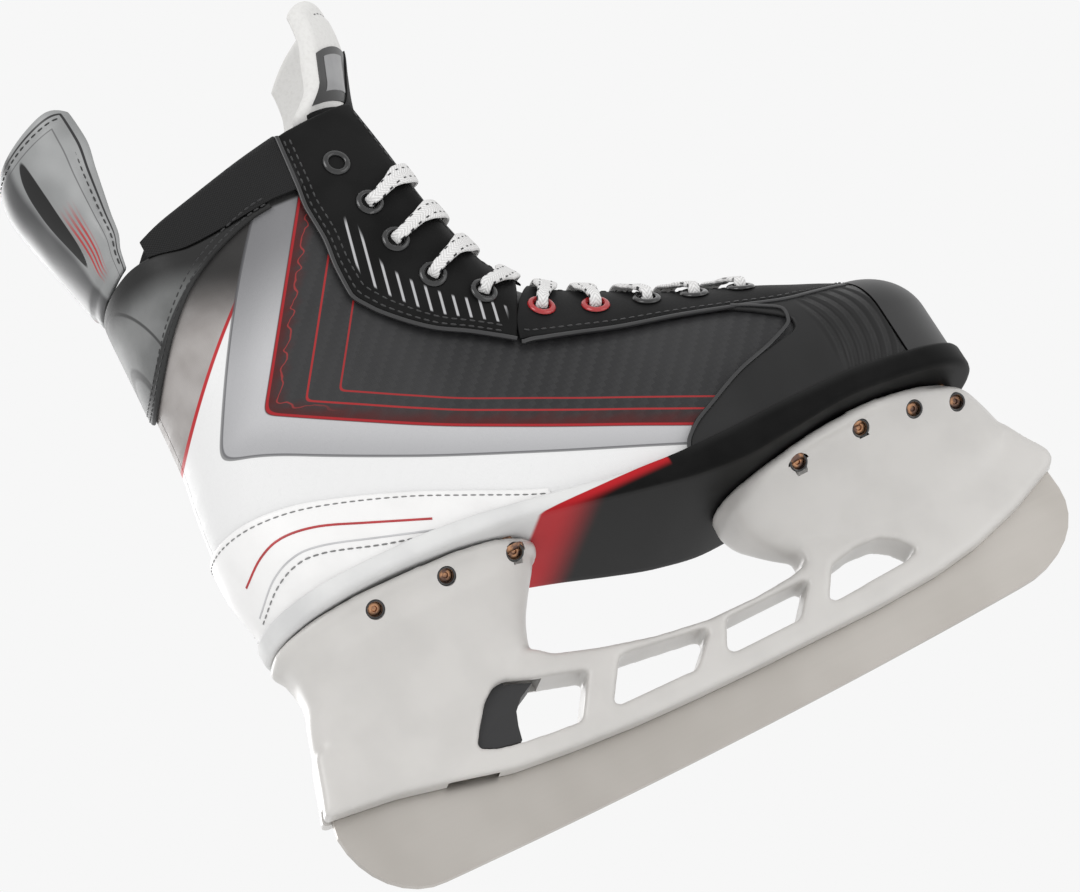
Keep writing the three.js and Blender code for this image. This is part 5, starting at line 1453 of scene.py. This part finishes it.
def make_bolt(name, seat, out, depth, finish):
    """The rivet's copper end, a little way down its hole."""
    end = max(0.8, depth - 1.9)
    profile = [(0, end - 1.2), (2.4, end - 1.2), (2.4, end - 0.3), (2.0, end), (1.1, end),
               (0.8, end - 0.7), (0, end - 0.7)]
    return turned(name, profile, seat, out, finish)


def make_rivet(name, x, y, finish):
    """A tubular rivet: a rolled head with a hole in it, its shank and its clinched end."""
    seat = -4.3 + 0.6 - GAP
    slope = abs(float(sole_under(x + 1) - sole_under(x - 1))) / 2
    top = 4.3 + 3.6 * slope
    profile = [(0, seat - 0.2), (1.2, seat - 0.3), (1.5, seat - 1.35), (2.0, seat - 1.6),
               (3.2, seat - 1.4), (4.1, seat - 0.7), (4.3, seat), (2.1, seat), (2.1, top),
               (3.6, top), (2.8, top + 1), (0, top + 1)]
    return turned(name, profile, under_sole(x, y), UP, finish, 28)


# ------------------------------------------------------------------ putting it together
TONGUE_FOLD = "tongue", (-0.012, 0, 0.2565), (-0.006, 0, 0.272)
GUARD_FLEX = "guard", (-0.12, 0, 0.2425), (-0.12, 0, 0.256)
SEAM_LIFT = 0.12


def stand_for(piece, slot, nodes):
    if nodes:
        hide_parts(*nodes)
    return piece


def put(piece, slot, *nodes):
    """A piece that rides the boot."""
    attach(piece, "boot")
    return stand_for(piece, slot, nodes)


def bend(piece, joint, slot, *nodes):
    """A piece with its transform baked in; the boot's parts it stands for are hidden."""
    other, start, end = joint
    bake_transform(piece)
    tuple(start)
    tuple(end)
    return stand_for(piece, slot, nodes)


def dress(node, finish):
    materials = bpy.data.objects[node].data.materials
    materials.clear()
    materials.append(finish)


def round_heel(end, level, line, places):
    """A path round the heel along a line of heights, from an end on one side to the other."""
    s = np.linspace(-s_at(end), s_at(end), places)
    return skin_around(s, line(x_around(s, level)), SEAM_LIFT)


def up_facing(side, share):
    v = np.linspace(0.03, 0.97, 120)
    x, z = facing_place(np.full_like(v, share), v)
    return skin(x, z, side, SEAM_LIFT)


def along_eyestay(v, low, high):
    u = np.linspace(low, high, 260)
    side, x, z = eyestay_grid(u, np.full_like(u, v))
    return skin(x, z, side, SEAM_LIFT)


def round_rim(surface, size, inset, low, steps, depth):
    """Up one side of a sheet, across its top and down again, a little in from its edge."""
    a, b = inset / size[0], inset / size[1]
    up, across = np.linspace(low, 1 - b, steps[0]), np.linspace(a, 1 - a, steps[1])
    u = np.concatenate([np.full_like(up, a), across, np.full_like(up, 1 - a)])
    v = np.concatenate([up, np.full_like(across, 1 - b), up[::-1]])
    return surface(u, v, depth)


def piping(name, x, z, side, finish):
    edge, normal = skin(x, z, side, -0.1), skin_normal(x, z, side)
    across = np.cross(normal, np.gradient(edge, axis=0))
    put(ribbon(name, edge, across, 1.7, 1.5, finish), "black_synthetic")


def build_lace():
    cotton = lace_weave()
    put(make_lace(cotton), "lace_cotton", "lace")
    for name, side in BOTH:
        tail, path = make_tail(f"lace_tail_{name}_flat", side, cotton)
        put(tail, "lace_cotton", f"lace_tail_{name}")
        float(travelled(path)[-1]) * MM


def build_hardware():
    dress("runner", brushed_steel())
    plastic = moulded_plastic("holder_plastic", (0.55, 0.535, 0.515), 0.36, 0.5, 0.02, 0.2)
    holder, bores = make_holder(plastic)
    put(holder, "holder_white", "holder")
    dress("release_trigger",
          moulded_plastic("trigger_plastic", (0.014, 0.014, 0.015), 0.5, 0.5, 0.03, 0.0))
    plated = brushed_steel()
    dress("trigger_pin", plated)
    dress("trigger_spring", plated)
    clear = moulded_plastic("clear_tip", (0.55, 0.56, 0.57), 0.2, 0.8, 0.01, 0.5)
    copper = copper_rivet()
    black = enamel("black_enamel", (0.006, 0.006, 0.0065))
    red = enamel("red_enamel", (0.36, 0.012, 0.015))
    for name, side in BOTH:
        dress(f"aglet_{name}", clear)
        for row in range(ROWS):
            label = f"eyelet_{name}_{row + 1}"
            finish, slot = (red, "eyelet_red") if row in RED_ROWS else (black, "eyelet_black")
            put(make_eyelet(f"{label}_round", row, side, finish), slot, label)
        for k, (_, *bore) in enumerate(b for b in bores if b[0] == side):
            put(make_sleeve(f"rivet_sleeve_{name}_{k}", *bore, black), "rivet_copper")
            put(make_bolt(f"rivet_end_{name}_{k}", *bore, copper), "rivet_copper")
        for zone, row, x, y in RIVET_PLACES:
            label = f"{zone}_rivet_{name}_{row}"
            put(make_rivet(f"{label}_head", x, side * y, copper), "rivet_copper", label)


def build_boot():
    carbon, leather, facing = carbon_shell(), white_synthetic(), striped_facing()
    grained = matt_synthetic("grained_black", (0.007, 0.007, 0.0072))
    shell = forefoot_shell()
    for name, side in BOTH:
        put(make_quarter(f"quarter_{name}_shell", side, carbon), "carbon_weave",
            f"quarter_{name}")
        put(skin_sheet(f"forefoot_{name}_cover", forefoot_place, (60, 45), shell, side),
            "forefoot_film", f"forefoot_panel_{name}")
        put(skin_sheet(f"facing_{name}_cover", facing_place, (48, 105), facing, side, 0.2),
            "black_synthetic", f"facing_{name}")
    put(make_eyestay(grained), "black_synthetic", "eyestay")
    put(skin_sheet("heel_overlay_cover", heel_place, (250, 36), leather, puff=0.3),
        "white_synthetic", "heel_overlay")
    put(skin_sheet("ankle_wrap_cover", wrap_place, (170, 45), shaded_wrap(), puff=0.3),
        "grey_wrap", "ankle_wrap")
    toe = moulded_plastic("toe_plastic", (0.012, 0.012, 0.0123), 0.42, 0.6, 0.02, 0.0)
    put(make_toe_cap(toe), "toe_shell", "toe_cap")
    put(make_outsole(sole_shell()), "sole_composite", "outsole")
    cloth = woven_cloth("footbed_cloth", (0.03, 0.03, 0.032), 1.2)
    put(make_footbed(cloth), "footbed_foam", "footbed")


def tongue_patch(name, u, v, out, within, finish):
    """A thin patch on the tongue's outer face."""
    patch = closed_sheet(name, tongue_upper_point(u, v, out), tongue_upper_point(u, v, within),
                         finish)
    bend(patch, TONGUE_FOLD, "white_felt")


def build_soft():
    collar = make_collar(woven_cloth("collar_cloth", (0.007, 0.007, 0.0072), 1.0))
    put(collar, "collar_padding", "collar")
    white = felt("white_felt", (0.70, 0.695, 0.68), (0.58, 0.57, 0.555))
    lower = make_tongue("tongue_lower_felt", tongue_surface, 150, white)
    put(lower, "white_felt", "tongue_lower")
    upper = make_tongue("tongue_upper_felt", tongue_upper_point, 62, white)
    bend(upper, TONGUE_FOLD, "white_felt", "tongue_upper")
    u, v = np.meshgrid(ticks(60, 1.6), np.linspace(0.06, 1, 30))
    reach = 0.26 + 0.06 * smooth(u, 0.6, 1.0)
    reach += 0.42 * smooth(u, 0.2, 0.42) * (1 - smooth(u, 0.58, 0.8))
    tongue_patch("tongue_cover", 0.012 + 0.976 * u, v * reach, -1.0, 0.6,
                 matt_synthetic("tongue_black", (0.008, 0.008, 0.0082)))
    for label, start, end, low, high, out, finish in (
            ("tongue_label", 0.02, 0.40, 0.30, 0.64, -0.35,
             printed("label_black", (0.008, 0.008, 0.008))),
            ("tongue_label_patch", 0.07, 0.26, 0.36, 0.59, -0.6,
             printed("label_grey", (0.26, 0.26, 0.265)))):
        u, v = np.meshgrid(np.linspace(start, end, 24), np.linspace(low, high, 16))
        tongue_patch(label, u, v, out, 1.2, finish)
    bend(make_guard(silver_guard()), GUARD_FLEX, "guard_silver", "tendon_guard")


def build_seams():
    dark = thread("black_thread", (0.015, 0.015, 0.016))
    grey = thread("grey_thread", (0.035, 0.035, 0.036))
    shade = thread("shade_thread", (0.22, 0.22, 0.22))
    red = printed("red_print", (0.42, 0.025, 0.03))
    silver = printed("silver_print", (0.5, 0.5, 0.51))
    black = printed("black_print", (0.02, 0.02, 0.021))
    rows = [("heel_stitches", round_heel(-27.5, WALL_TOP, lambda x: heel_overlay_top(x) - 2.4, 240),
             shade, 3.0, "white_synthetic"),
            ("eyestay_low_stitches", along_eyestay(0.93, 0.004, 0.996), grey, 3.2,
             "black_synthetic"),
            ("eyestay_high_stitches", along_eyestay(0.08, 0.02, 0.98), grey, 3.2,
             "black_synthetic")]
    for label, rise in (("wrap_low_stitches", 1.9), ("wrap_low_second", 4.3)):
        path = round_heel(-61.5, WRAP_LEVEL, lambda x: wrap_low(x) + rise, 200)
        rows.append((label, path, dark, 3.0, "grey_wrap"))
    heel_row = [(-131, 109.5), (-124, 115), (-116, 117.6), (-107, 116.6), (-86, 109.6), (-64, 104)]
    for name, side in BOTH:
        rows.append((f"heel_low_stitches_{name}", trace(heel_row, side, 0.4), shade, 3.0,
                     "white_synthetic"))
        for label, share in (("rear", 0.045), ("rear_second", 0.11), ("front", 0.95)):
            rows.append((f"facing_{label}_{name}", up_facing(side, share), grey, 3.2,
                         "black_synthetic"))
    for label, path, finish, spacing, slot in rows:
        put(seam(label, path, finish, spacing), slot)
    guard_path = round_rim(guard_point, GUARD_MAP, 5.2, 0.03, (60, 80), 0.5)
    bend(seam("guard_stitches", guard_path, dark, 3.2), GUARD_FLEX, "guard_silver")
    tongue_path = round_rim(tongue_upper_point, TONGUE_MAP, 7.0, 0.1, (50, 60), 0.55)
    bend(seam("tongue_stitches", tongue_path, dark, 3.6), TONGUE_FOLD, "white_felt")
    heights = np.linspace(85.5, 132, 60)
    panel_edge = np.stack([panel_front(heights) - 0.6, heights], 1)
    red_curve = [(-131, 122.5), (-124, 127), (-116, 128.6), (-104, 126), (-88, 119.5), (-67, 110.5)]
    low_curve = [(-131, 112), (-124, 118), (-116, 120.5), (-107, 119.5), (-86, 112.5), (-64, 105)]
    v = np.linspace(0.0, 1.0, 150)
    for name, side in BOTH:
        put(stripe(f"forefoot_piping_{name}", panel_edge, side, 0.35, 1.5, black, 1.1),
            "black_synthetic")
        piping(f"facing_piping_{name}", *facing_place(np.full_like(v, -0.014), v), side, black)
        u = v * 0.405 if side == OUTER else 0.595 + v * 0.405
        piping(f"eyestay_piping_{name}", *eyestay_grid(u, np.full_like(u, 1.03))[1:], side, black)
        put(stripe(f"heel_red_curve_{name}", red_curve, side, 0.34, 0.9, red), "white_synthetic")
        put(stripe(f"heel_low_curve_{name}", low_curve, side, 0.34, 0.7, silver),
            "white_synthetic")


studio()
build_lace()
build_hardware()
build_boot()
build_soft()
build_seams()
